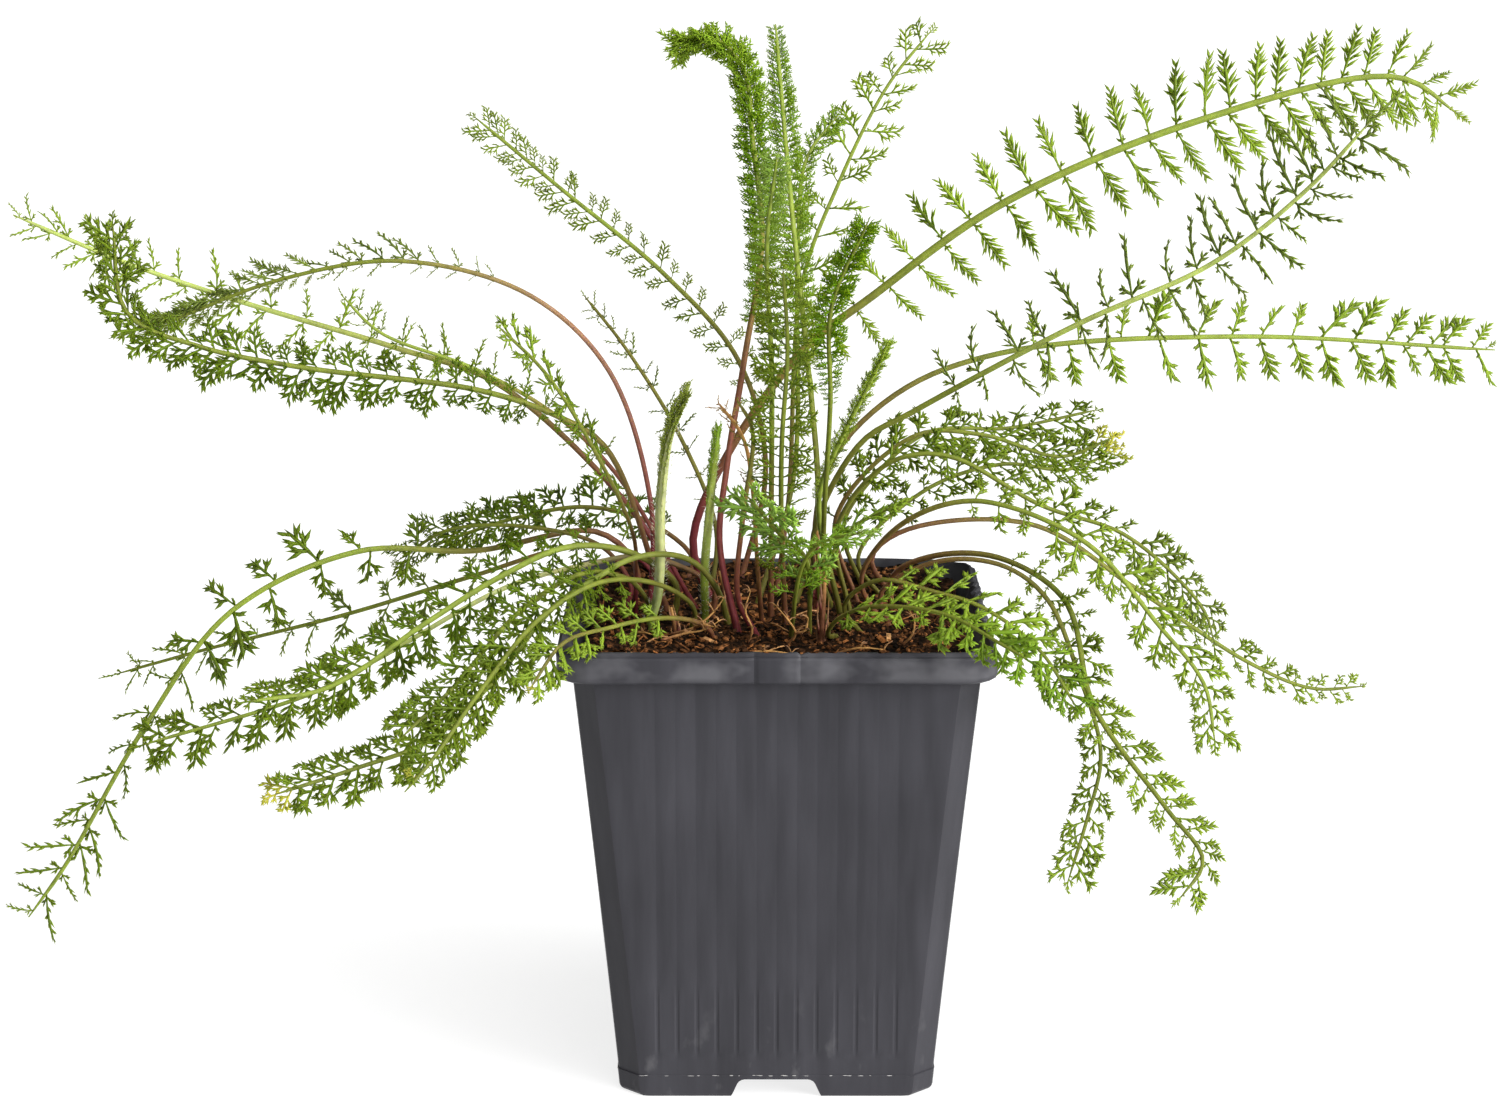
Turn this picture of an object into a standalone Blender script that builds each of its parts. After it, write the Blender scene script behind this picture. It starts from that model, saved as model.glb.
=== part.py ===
"""Yarrow (Achillea millefolium) in a square nursery pot.

The origin is the middle of the pot's footprint on the table, +Z is up and the pot's flat
sides face X and Y. One object for the pot, one for the soil and one for each grown leaf:
a stalk that stands in its own plain hole in the soil, with its leaflets grown onto it.
Lengths in the tables are millimetres; the finished meshes are metres.
"""
import math
import random

import bmesh
import bpy
import numpy as np
from mathutils import Matrix, Vector

MM = 0.001

# ---- pot -------------------------------------------------------------------------------
POT_HEIGHT = 99.0
FOOT_HALF = 33.0            # half the width across the flats at the table
NECK_HALF = 41.4            # the same just under the rim band
RIM_HALF = 45.0
RIM_BAND = 6.5              # height of the rim band
BODY_CHAMFER = 5.0
RIM_CORNER = 7.0            # corner radius of the rim
WALL = 1.2
FOOT_RIM = 3.0              # width of the foot that the pot stands on
FLOOR_UNDER = 4.2           # the floor is raised by this much over the foot
FLOOR_TOP = 5.4
NOTCH_TOP = 15.5            # notch in the middle of each foot side
NOTCH_BOTTOM = 19.5
NOTCH_HEIGHT = 4.0
DRAIN_RADIUS = 4.0
DRAIN_REACH = 13.5          # the four drain holes lie this far out along X and along Y

# ---- soil ------------------------------------------------------------------------------
SOIL_TOP = 94.0
SOIL_HALF = 39.6
SOIL_CELLS = 10
HOLE_RADIUS = 2.0           # six-sided plain hole for a stalk
HOLE_BOTTOM = 85.0
GAP = 0.3                   # clearance between touching pieces

# ---- leaves ----------------------------------------------------------------------------
STALK_FOOT = HOLE_BOTTOM + GAP
STALK_NECK = 95.0           # a stalk leaves its hole here and starts to lean
LEAFLET_BASE = 1.5          # length of stalk that one pair of leaflets grows from
SAMPLE_STEP = 2.5
PETIOLE_STEP = 7.0
STALK_CLEARANCE = 1.0
BEND_ROUNDS = 60
BEND_SPREAD = 3.0           # a bend fades out over this many samples
LEAFLET_CLEARANCE = 0.45
LEAFLET_HALF = 0.65         # half of a leaflet's thickness where it is kept clear
LOBED_FROM = 7.7            # leaflets longer than this are lobed
FORK_WIDTH = 1.1
FORK_THICKNESS = 0.64
LOBE_START = 0.42           # a lobed leaflet's forks, as shares of its length
LOBE_REACH = 0.70
LOBE_SPREAD = 0.27

GREEN = (0.105, 0.215, 0.045, 1.0)
DARK = (0.060, 0.145, 0.040, 1.0)
BRIGHT = (0.150, 0.330, 0.045, 1.0)
PALE = (0.240, 0.340, 0.110, 1.0)
WOOLLY = (0.330, 0.400, 0.260, 1.0)
DEAD = (0.230, 0.120, 0.055, 1.0)

# One row for each leaf:
# name, colour, leaflet length, pairs of leaflets, bare share of the stalk, roll of the
# blade about the stalk in degrees, how far the leaflets lift out of the blade's plane,
# stalk thickness, and the route of the stalk from the soil to the tip as (x, y, z) points
# in millimetres.
LEAVES = [
    ("frond_01", PALE, 8.5, 13, 0.42, -65, 0.3, 1.5, [
        (-20, 22, 95), (-31, 23, 114), (-60, 24, 142), (-82, 24, 150), (-115, 24, 160),
        (-141, 24, 169), (-164, 24, 179)]),
    ("frond_02", DARK, 8.5, 24, 0.28, -45, 0.6, 1.4, [
        (-23, 6, 95), (-36, -1, 133), (-46, -3, 140), (-62, -6, 146), (-99, -12, 152),
        (-119, -16, 157), (-133, -18, 164), (-135, -20, 183)]),
    ("frond_03", GREEN, 6.0, 16, 0.52, -60, 0.3, 1.3, [
        (-27, 14, 95), (-27, 15, 118), (-36, 15, 147), (-53, 16, 163), (-80, 17, 170),
        (-106, 17, 166), (-132, 18, 156)]),
    ("frond_04", GREEN, 7.5, 9, 0.35, -70, 0.3, 1.1, [
        (-17, 10, 95), (-34, 9, 125), (-47, 9, 138), (-64, 9, 148), (-84, 8, 156),
        (-92, 8, 164)]),
    ("frond_05", GREEN, 7.0, 9, 0.25, -60, 0.3, 1.1, [
        (-30, 4, 95), (-30, -5, 114), (-38, -17, 136), (-47, -26, 153), (-56, -34, 164)]),
    ("frond_06", GREEN, 7.0, 18, 0.30, -60, 0.3, 1.3, [
        (-8, 30, 95), (-2, 37, 121), (-8, 43, 144), (-24, 49, 162), (-48, 56, 181),
        (-67, 62, 196)]),
    ("frond_07", GREEN, 6.0, 9, 0.25, -60, 0.3, 1.1, [
        (-14, 26, 95), (-13, 29, 109), (-21, 33, 129), (-33, 37, 148), (-42, 40, 159)]),
    ("frond_08", BRIGHT, 8.5, 26, 0.36, 15, 0.9, 1.5, [
        (-8, -12, 95), (-12, -9, 116), (-7, -3, 150), (-3, 1, 177), (-5, 5, 197),
        (-7, 7, 212), (-13, 8, 218), (-22, 10, 216)]),
    ("frond_09", GREEN, 3.0, 4, 0.45, 0, 0.3, 1.3, [
        (-4, -14, 95), (-8, -17, 104), (-7, -22, 122), (-5, -28, 142), (-8, -30, 148)]),
    ("frond_10", BRIGHT, 4.5, 26, 0.22, 15, 0.9, 1.5, [
        (4, 12, 95), (9, 15, 114), (7, 21, 147), (4, 26, 175), (1, 32, 207),
        (0, 34, 219)]),
    ("frond_11", PALE, 4.0, 10, 0.52, 0, 0.6, 1.3, [
        (-1, 4, 95), (-1, -1, 117), (-1, -8, 151), (-2, -14, 179), (0, -18, 196)]),
    ("frond_12", DARK, 4.5, 16, 0.15, 0, 0.9, 1.2, [
        (2, -6, 95), (1, -18, 121), (1, -27, 139), (2, -37, 160), (1, -46, 177)]),
    ("frond_13", GREEN, 8.5, 14, 0.35, 20, 0.5, 1.2, [
        (0, 20, 95), (3, 28, 116), (6, 44, 161), (14, 52, 182), (25, 60, 203),
        (35, 66, 215)]),
    ("frond_14", DARK, 5.0, 12, 0.40, 20, 0.3, 1.2, [
        (-4, 14, 95), (4, 25, 121), (5, 43, 167), (7, 51, 188), (14, 56, 197)]),
    ("frond_15", BRIGHT, 5.0, 16, 0.34, 10, 0.9, 1.3, [
        (10, -2, 95), (10, -10, 119), (11, -20, 146), (11, -27, 167), (18, -34, 185)]),
    ("frond_16", BRIGHT, 2.8, 14, 0.42, 20, 0.9, 1.3, [
        (14, 4, 95), (9, -6, 123), (14, -12, 138), (19, -16, 149), (23, -20, 159)]),
    ("frond_17", GREEN, 5.5, 6, 0.30, 0, 0.3, 1.1, [
        (7, -12, 95), (6, -24, 114), (1, -30, 120), (-6, -38, 130)]),
    ("frond_18", GREEN, 5.0, 5, 0.30, 0, 0.3, 1.0, [
        (3, -16, 95), (5, -29, 113), (8, -34, 119), (17, -44, 124)]),
    ("frond_19", GREEN, 12.5, 24, 0.30, 75, 0.3, 2.0, [
        (-14, 18, 95), (-18, 19, 108), (-10, 20, 128), (7, 21, 151), (20, 22, 161),
        (48, 24, 181), (91, 27, 199), (134, 29, 208), (147, 30, 200)]),
    ("frond_20", PALE, 10.0, 16, 0.36, 65, 0.3, 1.5, [
        (12, 12, 95), (8, 10, 110), (18, 8, 132), (29, 7, 139), (64, 2, 159),
        (91, -1, 172), (110, -4, 188), (122, -6, 202)]),
    ("frond_21", GREEN, 10.5, 16, 0.42, 75, 0.3, 1.4, [
        (14, 20, 95), (9, 22, 104), (12, 26, 124), (27, 31, 139), (50, 36, 147),
        (103, 46, 149), (163, 58, 144)]),
    ("frond_22", DARK, 7.5, 13, 0.20, 45, 0.3, 1.2, [
        (18, 14, 95), (13, 15, 114), (30, 17, 132), (45, 18, 132), (62, 19, 127),
        (73, 20, 131)]),
    ("frond_23", DARK, 7.5, 10, 0.25, 40, 0.3, 1.1, [
        (20, 24, 95), (15, 29, 109), (21, 32, 119), (34, 37, 129), (52, 42, 129),
        (72, 48, 132)]),
    ("frond_24", GREEN, 8.0, 16, 0.25, 45, 0.3, 1.2, [
        (16, 8, 95), (13, 5, 114), (24, 2, 129), (36, 0, 131), (56, -4, 121),
        (74, -7, 115), (90, -11, 100), (92, -12, 94)]),
    ("frond_25", DARK, 7.5, 11, 0.30, 40, 0.3, 1.1, [
        (24, 18, 95), (18, 21, 104), (33, 27, 118), (50, 31, 123), (65, 35, 121),
        (76, 38, 125)]),
    ("frond_26", GREEN, 8.5, 14, 0.35, 50, 0.3, 1.3, [
        (22, 2, 95), (18, -2, 104), (22, -5, 113), (31, -10, 121), (43, -14, 124),
        (64, -23, 117), (78, -32, 102), (87, -38, 91), (89, -42, 80)]),
    ("frond_27", GREEN, 8.5, 14, 0.42, 55, 0.3, 1.3, [
        (26, 22, 95), (21, 25, 103), (28, 26, 109), (57, 33, 109), (81, 39, 93),
        (108, 46, 74), (123, 50, 67), (135, 52, 67)]),
    ("frond_28", GREEN, 9.0, 16, 0.30, 40, 0.3, 1.4, [
        (25, 8, 95), (25, 4, 104), (34, -3, 110), (47, -10, 111), (60, -19, 104),
        (65, -31, 85), (79, -46, 67), (86, -53, 58), (81, -58, 52)]),
    ("frond_29", GREEN, 8.5, 11, 0.38, 40, 0.3, 1.2, [
        (24, -5, 95), (22, -8, 103), (34, -13, 111), (47, -17, 111), (56, -21, 105),
        (63, -26, 89), (67, -31, 74), (64, -36, 62), (60, -40, 50)]),
    ("frond_30", GREEN, 5.5, 10, 0.25, 30, 0.3, 1.1, [
        (13, -15, 95), (9, -21, 99), (15, -29, 104), (22, -37, 107), (34, -49, 108),
        (44, -61, 105), (49, -66, 103)]),
    ("frond_31", GREEN, 5.5, 9, 0.30, 35, 0.3, 1.1, [
        (18, -12, 95), (14, -16, 102), (21, -22, 109), (32, -28, 108), (42, -34, 106),
        (53, -41, 99), (60, -48, 89)]),
    ("frond_32", BRIGHT, 4.5, 6, 0.30, 30, 0.3, 1.0, [
        (11, -8, 95), (9, -15, 107), (15, -20, 119), (24, -24, 125)]),
    ("frond_33", DARK, 8.0, 14, 0.22, -45, 0.3, 1.2, [
        (-21, 28, 95), (-18, 32, 101), (-28, 40, 108), (-42, 47, 110), (-58, 55, 106),
        (-79, 66, 97)]),
    ("frond_34", PALE, 10.0, 18, 0.30, -55, 0.3, 1.5, [
        (-30, 24, 95), (-31, 23, 103), (-39, 21, 110), (-65, 15, 107), (-90, 10, 108),
        (-117, 4, 96), (-136, -1, 71), (-153, -5, 42), (-161, -7, 31)]),
    ("frond_35", GREEN, 8.5, 14, 0.25, -50, 0.3, 1.2, [
        (-25, 31, 95), (-30, 34, 101), (-43, 38, 103), (-69, 46, 94), (-98, 56, 83),
        (-132, 67, 72), (-154, 71, 65)]),
    ("frond_36", PALE, 9.0, 13, 0.40, -55, 0.3, 1.3, [
        (-14, 2, 95), (-13, 1, 102), (-27, -2, 109), (-41, -4, 108), (-57, -7, 104),
        (-83, -11, 90), (-97, -14, 83), (-133, -20, 73)]),
    ("frond_37", BRIGHT, 8.0, 18, 0.33, -45, 0.3, 1.4, [
        (-10, -5, 95), (-12, -8, 103), (-18, -12, 111), (-28, -17, 113), (-44, -25, 106),
        (-58, -36, 91), (-70, -44, 81), (-85, -52, 77), (-100, -60, 74)]),
    ("frond_38", BRIGHT, 8.0, 15, 0.30, -45, 0.3, 1.5, [
        (-22, -2, 95), (-21, -5, 104), (-29, -11, 112), (-43, -17, 115), (-57, -23, 110),
        (-72, -31, 102), (-91, -41, 91), (-106, -48, 90)]),
    ("frond_39", GREEN, 8.0, 13, 0.28, -45, 0.3, 1.2, [
        (-18, -8, 95), (-17, -11, 100), (-24, -18, 107), (-36, -28, 110), (-48, -39, 105),
        (-59, -54, 94), (-68, -67, 83), (-73, -72, 78)]),
    ("frond_40", DARK, 8.0, 11, 0.28, -45, 0.3, 1.2, [
        (-27, -4, 95), (-26, -8, 100), (-31, -16, 108), (-41, -24, 110), (-52, -36, 106),
        (-65, -54, 94), (-74, -64, 87)]),
    ("frond_41", PALE, 5.0, 8, 0.32, -45, 0.3, 1.1, [
        (-13, -17, 95), (-14, -19, 98), (-18, -24, 101), (-25, -31, 103), (-34, -39, 103),
        (-43, -48, 102), (-49, -56, 95)]),
    ("frond_42", DARK, 8.0, 9, 0.30, -45, 0.3, 1.1, [
        (-33, 10, 95), (-31, 11, 99), (-37, 13, 108), (-51, 15, 112), (-71, 18, 111),
        (-82, 20, 104)]),
    ("dead_leaf", DEAD, 4.0, 8, 0.40, 0, 0.8, 1.1, [
        (-3, -2, 95), (-4, -8, 110), (-5, -15, 127), (-7, -21, 139), (-12, -26, 147)]),
    ("young_leaf_1", WOOLLY, 1.6, 9, 0.25, 30, 0.5, 2.2, [
        (-27, -10, 95), (-25, -10, 110), (-24, -10, 126), (-22, -11, 138), (-18, -13, 147)]),
    ("young_leaf_2", WOOLLY, 1.4, 6, 0.30, 30, 0.5, 1.8, [
        (-15, -3, 95), (-15, -5, 109), (-13, -7, 127), (-12, -9, 139)]),
]

# Old brown stalk stubs at the crown: name, foot, tip, thickness.
STUBS = [
    ("stub_1", (9, -19), (10, -23, 112), 2.2),
    ("stub_2", (8, 6), (9, 3, 115), 2.0),
    ("stub_3", (-9, 7), (-12, 4, 106), 1.8),
    ("stub_4", (-19, -14), (-22, -17, 103), 1.8),
]


# ---- small helpers ---------------------------------------------------------------------
def clear_scene():
    for old in list(bpy.data.objects):
        bpy.data.objects.remove(old, do_unlink=True)


def make_collection(name):
    collection = bpy.data.collections.new(name)
    bpy.context.scene.collection.children.link(collection)
    return collection


def make_material(name, colour, roughness):
    material = bpy.data.materials.new(name)
    material.use_nodes = True
    shader = material.node_tree.nodes["Principled BSDF"]
    shader.inputs["Base Color"].default_value = colour
    shader.inputs["Roughness"].default_value = roughness
    shader.inputs["Metallic"].default_value = 0.0
    material.diffuse_color = colour
    return material


def face_outwards(bm):
    bmesh.ops.recalc_face_normals(bm, faces=bm.faces)
    if bm.calc_volume(signed=True) < 0.0:
        bmesh.ops.reverse_faces(bm, faces=bm.faces)


def finish_object(name, bm, collection, material=None):
    """Turn a mesh that was built in millimetres into a named object in metres."""
    face_outwards(bm)
    bmesh.ops.scale(bm, vec=(MM, MM, MM), verts=bm.verts)
    mesh = bpy.data.meshes.new(name)
    bm.to_mesh(mesh)
    bm.free()
    thing = bpy.data.objects.new(name, mesh)
    if material:
        mesh.materials.append(material)
    collection.objects.link(thing)
    return thing


def boolean_cut(thing, cutter):
    cut = thing.modifiers.new("cut_" + cutter.name, "BOOLEAN")
    cut.operation = "DIFFERENCE"
    cut.solver = "EXACT"
    cut.object = cutter


def make_cutter(name, bm, cutters):
    cutter = finish_object(name, bm, cutters)
    cutter.hide_render = True
    cutter.display_type = "WIRE"
    return cutter


def first_cap(bm, places):
    return bm.faces.new([bm.verts.new(place) for place in places])


def extrude_cap(bm, cap, places):
    """Extrude the open end one step; the new cap's corners keep the ring's order."""
    cap = bmesh.ops.extrude_discrete_faces(bm, faces=[cap])["faces"][0]
    for vert, place in zip(cap.verts, places):
        vert.co = place
    return cap


def close_open_end(bm):
    rim = [edge for edge in bm.edges if edge.is_boundary]
    bmesh.ops.edgeloop_fill(bm, edges=rim)


def poke_to(bm, face, place):
    """Draw a face out into a point."""
    bmesh.ops.poke(bm, faces=[face])["verts"][0].co = place


# ---- pot and soil ----------------------------------------------------------------------
def corner_points(half, corner, roundness):
    """Four points round the corner at +X +Y: a chamfer at roundness 0, an arc at 1."""
    ease = 0.9
    chamfer = [
        (half, half - corner - ease), (half - 0.3 * ease, half - corner + 0.5 * ease),
        (half - corner + 0.5 * ease, half - 0.3 * ease), (half - corner - ease, half)]
    arc = []
    for step in range(4):
        turn = math.radians(30.0 * step)
        arc.append((half - corner + corner * math.cos(turn),
                    half - corner + corner * math.sin(turn)))
    return [(c[0] + (a[0] - c[0]) * roundness, c[1] + (a[1] - c[1]) * roundness)
            for c, a in zip(chamfer, arc)]


def ring_points(half, corner, roundness, z):
    points = []
    for quarter in range(4):
        turn = math.radians(90.0 * quarter)
        for x, y in corner_points(half, corner, roundness):
            points.append(Vector((x * math.cos(turn) - y * math.sin(turn),
                                  x * math.sin(turn) + y * math.cos(turn), z)))
    return points


def loft(rings):
    """A closed solid through rings of equal count, extruded one step at a time."""
    bm = bmesh.new()
    cap = first_cap(bm, rings[0])
    for ring in rings[1:]:
        cap = extrude_cap(bm, cap, ring)
    close_open_end(bm)
    return bm


def half_at(z):
    """Outer half-width of the tapered body at height z."""
    return FOOT_HALF + (NECK_HALF - FOOT_HALF) * z / (POT_HEIGHT - RIM_BAND)


def build_pot(parts, cutters, material):
    band = POT_HEIGHT - RIM_BAND
    body = [(half_at(0.0) - 0.5, 0.0), (half_at(0.8), 0.8), (half_at(4.7), 4.7),
            (half_at(5.3) - 0.35, 5.3)]
    rim = [(RIM_HALF - 0.5, band), (RIM_HALF, band + 1.0), (RIM_HALF, POT_HEIGHT - 1.2),
           (RIM_HALF - 0.8, POT_HEIGHT), (RIM_HALF - 2.4, POT_HEIGHT),
           (RIM_HALF - 3.2, POT_HEIGHT - 1.2)]
    rings = [ring_points(half, BODY_CHAMFER, 0.0, z) for half, z in body]
    rings.append(ring_points(half_at(band), BODY_CHAMFER, 0.15, band))
    rings += [ring_points(half, RIM_CORNER, 1.0, z) for half, z in rim]
    rings.append(ring_points(half_at(band) - WALL, BODY_CHAMFER, 0.3, band))
    rings.append(ring_points(half_at(FLOOR_TOP) - WALL - 0.3, BODY_CHAMFER, 0.0, FLOOR_TOP))
    pot = finish_object("pot", loft(rings), parts, material)

    recess = loft([ring_points(half_at(0.0) - FOOT_RIM, BODY_CHAMFER, 0.0, z)
                   for z in (-1.0, FLOOR_UNDER)])
    boolean_cut(pot, make_cutter("foot_recess", recess, cutters))
    for side in range(4):
        turn = Matrix.Rotation(math.radians(90.0 * side), 3, "Z")
        notch = bmesh.new()
        bmesh.ops.create_cube(notch, size=1.0)
        for vert in notch.verts:
            top = vert.co.z > 0.0
            vert.co.x *= NOTCH_TOP if top else NOTCH_BOTTOM
            vert.co.y = FOOT_HALF + (3.0 if vert.co.y > 0.0 else -FOOT_RIM - 2.0)
            vert.co.z = NOTCH_HEIGHT if top else -0.6
            vert.co = turn @ vert.co
        boolean_cut(pot, make_cutter("notch_%d" % (side + 1), notch, cutters))
        drain = bmesh.new()
        bmesh.ops.create_cone(drain, cap_ends=True, segments=10, radius1=DRAIN_RADIUS,
                              radius2=DRAIN_RADIUS, depth=8.0)
        spot = turn @ Vector((DRAIN_REACH, DRAIN_REACH, FLOOR_TOP - 1.0))
        bmesh.ops.translate(drain, verts=drain.verts, vec=spot)
        boolean_cut(pot, make_cutter("drain_%d" % (side + 1), drain, cutters))


def soil_height(x, y):
    """The soil's top: level round the crown, uneven towards the wall."""
    reach = max(abs(x), abs(y)) / SOIL_HALF
    rough = 0.7 * math.sin(0.31 * x + 1.3) * math.sin(0.27 * y + 0.4)
    rough += 0.5 * math.sin(0.53 * x - 0.37 * y)
    hollow_left = -2.5 * math.exp(-((x + 33) ** 2 + (y - 18) ** 2) / 60.0)
    hollow_back = -3.0 * math.exp(-((x - 34) ** 2 + (y - 33) ** 2) / 50.0)
    edge = min(1.0, max(0.0, (reach - 0.55) / 0.3))
    return SOIL_TOP + edge * (rough - 0.8) + hollow_back + edge * hollow_left


def build_soil(parts, cutters, material, feet):
    bm = bmesh.new()
    bmesh.ops.create_grid(bm, x_segments=SOIL_CELLS, y_segments=SOIL_CELLS, size=SOIL_HALF)
    limit = 2.0 * SOIL_HALF - BODY_CHAMFER - 1.5
    for vert in bm.verts:
        over = abs(vert.co.x) + abs(vert.co.y) - limit
        if over > 0.0:
            vert.co.x -= math.copysign(0.5 * over, vert.co.x)
            vert.co.y -= math.copysign(0.5 * over, vert.co.y)
        vert.co.z = soil_height(vert.co.x, vert.co.y)
    rim = [edge for edge in bm.edges if edge.is_boundary]
    skirt = bmesh.ops.extrude_edge_only(bm, edges=rim)["geom"]
    bottom = FLOOR_TOP + GAP
    shrink = (half_at(bottom) - WALL - 0.9) / SOIL_HALF
    for vert in [item for item in skirt if isinstance(item, bmesh.types.BMVert)]:
        vert.co.x *= shrink
        vert.co.y *= shrink
        vert.co.z = bottom
    close_open_end(bm)
    soil = finish_object("soil", bm, parts, material)

    holes = bmesh.new()
    top = SOIL_TOP + 4.0
    for x, y in feet:
        made = bmesh.ops.create_cone(holes, cap_ends=True, segments=6,
                                     radius1=HOLE_RADIUS, radius2=HOLE_RADIUS,
                                     depth=top - HOLE_BOTTOM)
        bmesh.ops.translate(holes, verts=made["verts"],
                            vec=(x, y, 0.5 * (top + HOLE_BOTTOM)))
    boolean_cut(soil, make_cutter("stalk_holes", holes, cutters))


# ---- routes of the stalks --------------------------------------------------------------
def smooth_route(points):
    """A centripetal Catmull-Rom curve through the route, sampled at an even step."""
    pts = [np.array(p, float) for p in points]
    pts = [2 * pts[0] - pts[1]] + pts + [2 * pts[-1] - pts[-2]]
    dense = []
    for a, b, c, d in zip(pts, pts[1:], pts[2:], pts[3:]):
        t0 = 0.0
        t1 = t0 + np.linalg.norm(b - a) ** 0.5
        t2 = t1 + np.linalg.norm(c - b) ** 0.5
        t3 = t2 + np.linalg.norm(d - c) ** 0.5
        for t in np.linspace(t1, t2, 16, endpoint=False):
            ab = (t1 - t) / (t1 - t0) * a + (t - t0) / (t1 - t0) * b
            bc = (t2 - t) / (t2 - t1) * b + (t - t1) / (t2 - t1) * c
            cd = (t3 - t) / (t3 - t2) * c + (t - t2) / (t3 - t2) * d
            abc = (t2 - t) / (t2 - t0) * ab + (t - t0) / (t2 - t0) * bc
            bcd = (t3 - t) / (t3 - t1) * bc + (t - t1) / (t3 - t1) * cd
            dense.append((t2 - t) / (t2 - t1) * abc + (t - t1) / (t2 - t1) * bcd)
    dense.append(pts[-2])
    dense = np.array(dense)
    along = np.r_[0.0, np.cumsum(np.linalg.norm(np.diff(dense, axis=0), axis=1))]
    count = max(8, int(round(along[-1] / SAMPLE_STEP)))
    even = np.linspace(0.0, along[-1], count + 1)
    return np.column_stack([np.interp(even, along, dense[:, k]) for k in range(3)])


def push_apart(one, other, need):
    """Shifts for the samples of two routes that run closer than they need."""
    shifts = [np.zeros_like(one), np.zeros_like(other)]
    away = one[:, None, :] - other[None, :, :]
    apart = np.linalg.norm(away, axis=2)
    for a, b in np.argwhere(apart < need):
        push = away[a, b] / max(apart[a, b], 1e-6) * (need - apart[a, b]) * 0.3
        for shift, at, sign in ((shifts[0], a, 1.0), (shifts[1], b, -1.0)):
            bell = np.exp(-((np.arange(len(shift)) - at) / BEND_SPREAD) ** 2)
            step = sign * bell[:, None] * push
            larger = np.abs(step) > np.abs(shift)
            shift[larger] = step[larger]
    return shifts


def spread_routes(routes, radii, movable):
    """Bend stalks clear of each other where they cross; their feet and the stubs stay."""
    for _ in range(BEND_ROUNDS):
        moves = [np.zeros_like(route) for route in routes]
        for i in range(movable):
            for j in range(i + 1, len(routes)):
                need = radii[i] + radii[j] + STALK_CLEARANCE
                apart = np.maximum(routes[i].min(0) - routes[j].max(0),
                                   routes[j].min(0) - routes[i].max(0))
                if apart.max() < need:
                    shift_i, shift_j = push_apart(routes[i], routes[j], need)
                    moves[i] += shift_i
                    moves[j] += shift_j
        for k in range(movable):
            rise = np.clip((np.arange(len(routes[k])) - 0.5) / 2.0, 0.0, 1.0)
            routes[k] = routes[k] + moves[k] * rise[:, None]
    return routes


def side_frames(route, roll):
    """Tangent, blade side and blade normal at each sample of a route."""
    tangent = np.gradient(route, axis=0)
    tangent /= np.linalg.norm(tangent, axis=1)[:, None]
    heading = route[-1, :2] - route[0, :2]
    heading /= max(np.linalg.norm(heading), 1e-6)
    flat = np.array([-heading[1], heading[0], 0.0])
    side = flat - tangent * (tangent @ flat)[:, None]
    side /= np.linalg.norm(side, axis=1)[:, None]
    normal = np.cross(tangent, side)
    turn = math.radians(roll)
    turned = math.cos(turn) * side + math.sin(turn) * normal
    return tangent, turned, np.cross(tangent, turned)


# ---- leaflets --------------------------------------------------------------------------
def segment_distances(p, q, starts, ends):
    """Shortest distance from the segment p-q to each of many segments."""
    d1 = q - p
    d2 = ends - starts
    r = p - starts
    a = d1 @ d1
    e = np.einsum("ij,ij->i", d2, d2)
    f = np.einsum("ij,ij->i", d2, r)
    c = r @ d1
    b = d2 @ d1
    denom = a * e - b * b
    s = np.clip(np.where(denom > 1e-9, (b * f - c * e) / np.maximum(denom, 1e-9), 0.0), 0, 1)
    t = np.clip((b * s + f) / np.maximum(e, 1e-9), 0, 1)
    s = np.clip((b * t - c) / max(a, 1e-9), 0, 1)
    gap = (p + d1 * s[:, None]) - (starts + d2 * t[:, None])
    return np.linalg.norm(gap, axis=1)


def clear_of_pot(point, margin):
    reach = max(abs(point[0]), abs(point[1]))
    if point[2] > POT_HEIGHT + margin:
        return True
    if reach > RIM_HALF + margin:
        return point[2] > margin
    inside = reach < half_at(SOIL_TOP) - WALL - 1.5 - margin
    return inside and point[2] > soil_height(point[0], point[1]) + margin


class Leaflet:
    def __init__(self, at, hand, direction, length):
        self.at = at
        self.hand = hand
        self.direction = direction
        self.length = length
        self.lobed = length > LOBED_FROM

    def tips(self, root, tangent):
        """Where the leaflet ends: its tip and, on a lobed one, its two side lobes."""
        ends = [root + self.direction * self.length]
        if self.lobed:
            for sign in (-1.0, 1.0):
                out = self.direction * LOBE_REACH + sign * tangent * LOBE_SPREAD
                ends.append(root + out * self.length)
        return ends


class Obstacles:
    """Round bars that leaflets keep clear of: stalks, and the leaflets placed so far."""

    def __init__(self, routes, radii):
        self.starts = np.vstack([route[:-1] for route in routes])
        self.ends = np.vstack([route[1:] for route in routes])
        self.widths = np.concatenate(
            [np.full(len(route) - 1, radius * 1.15) for route, radius in zip(routes, radii)])
        self.owners = np.concatenate(
            [np.full(len(route) - 1, owner) for owner, route in enumerate(routes)])

    def touches(self, owner, root, tip):
        others = self.owners != owner
        apart = segment_distances(root, tip, self.starts[others], self.ends[others])
        need = self.widths[others] + LEAFLET_HALF + LEAFLET_CLEARANCE
        return bool((apart < need).any())

    def add(self, owner, root, tips):
        self.starts = np.vstack([self.starts] + [root] * len(tips))
        self.ends = np.vstack([self.ends] + tips)
        self.widths = np.append(self.widths, [LEAFLET_HALF] * len(tips))
        self.owners = np.append(self.owners, [owner] * len(tips))


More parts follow.
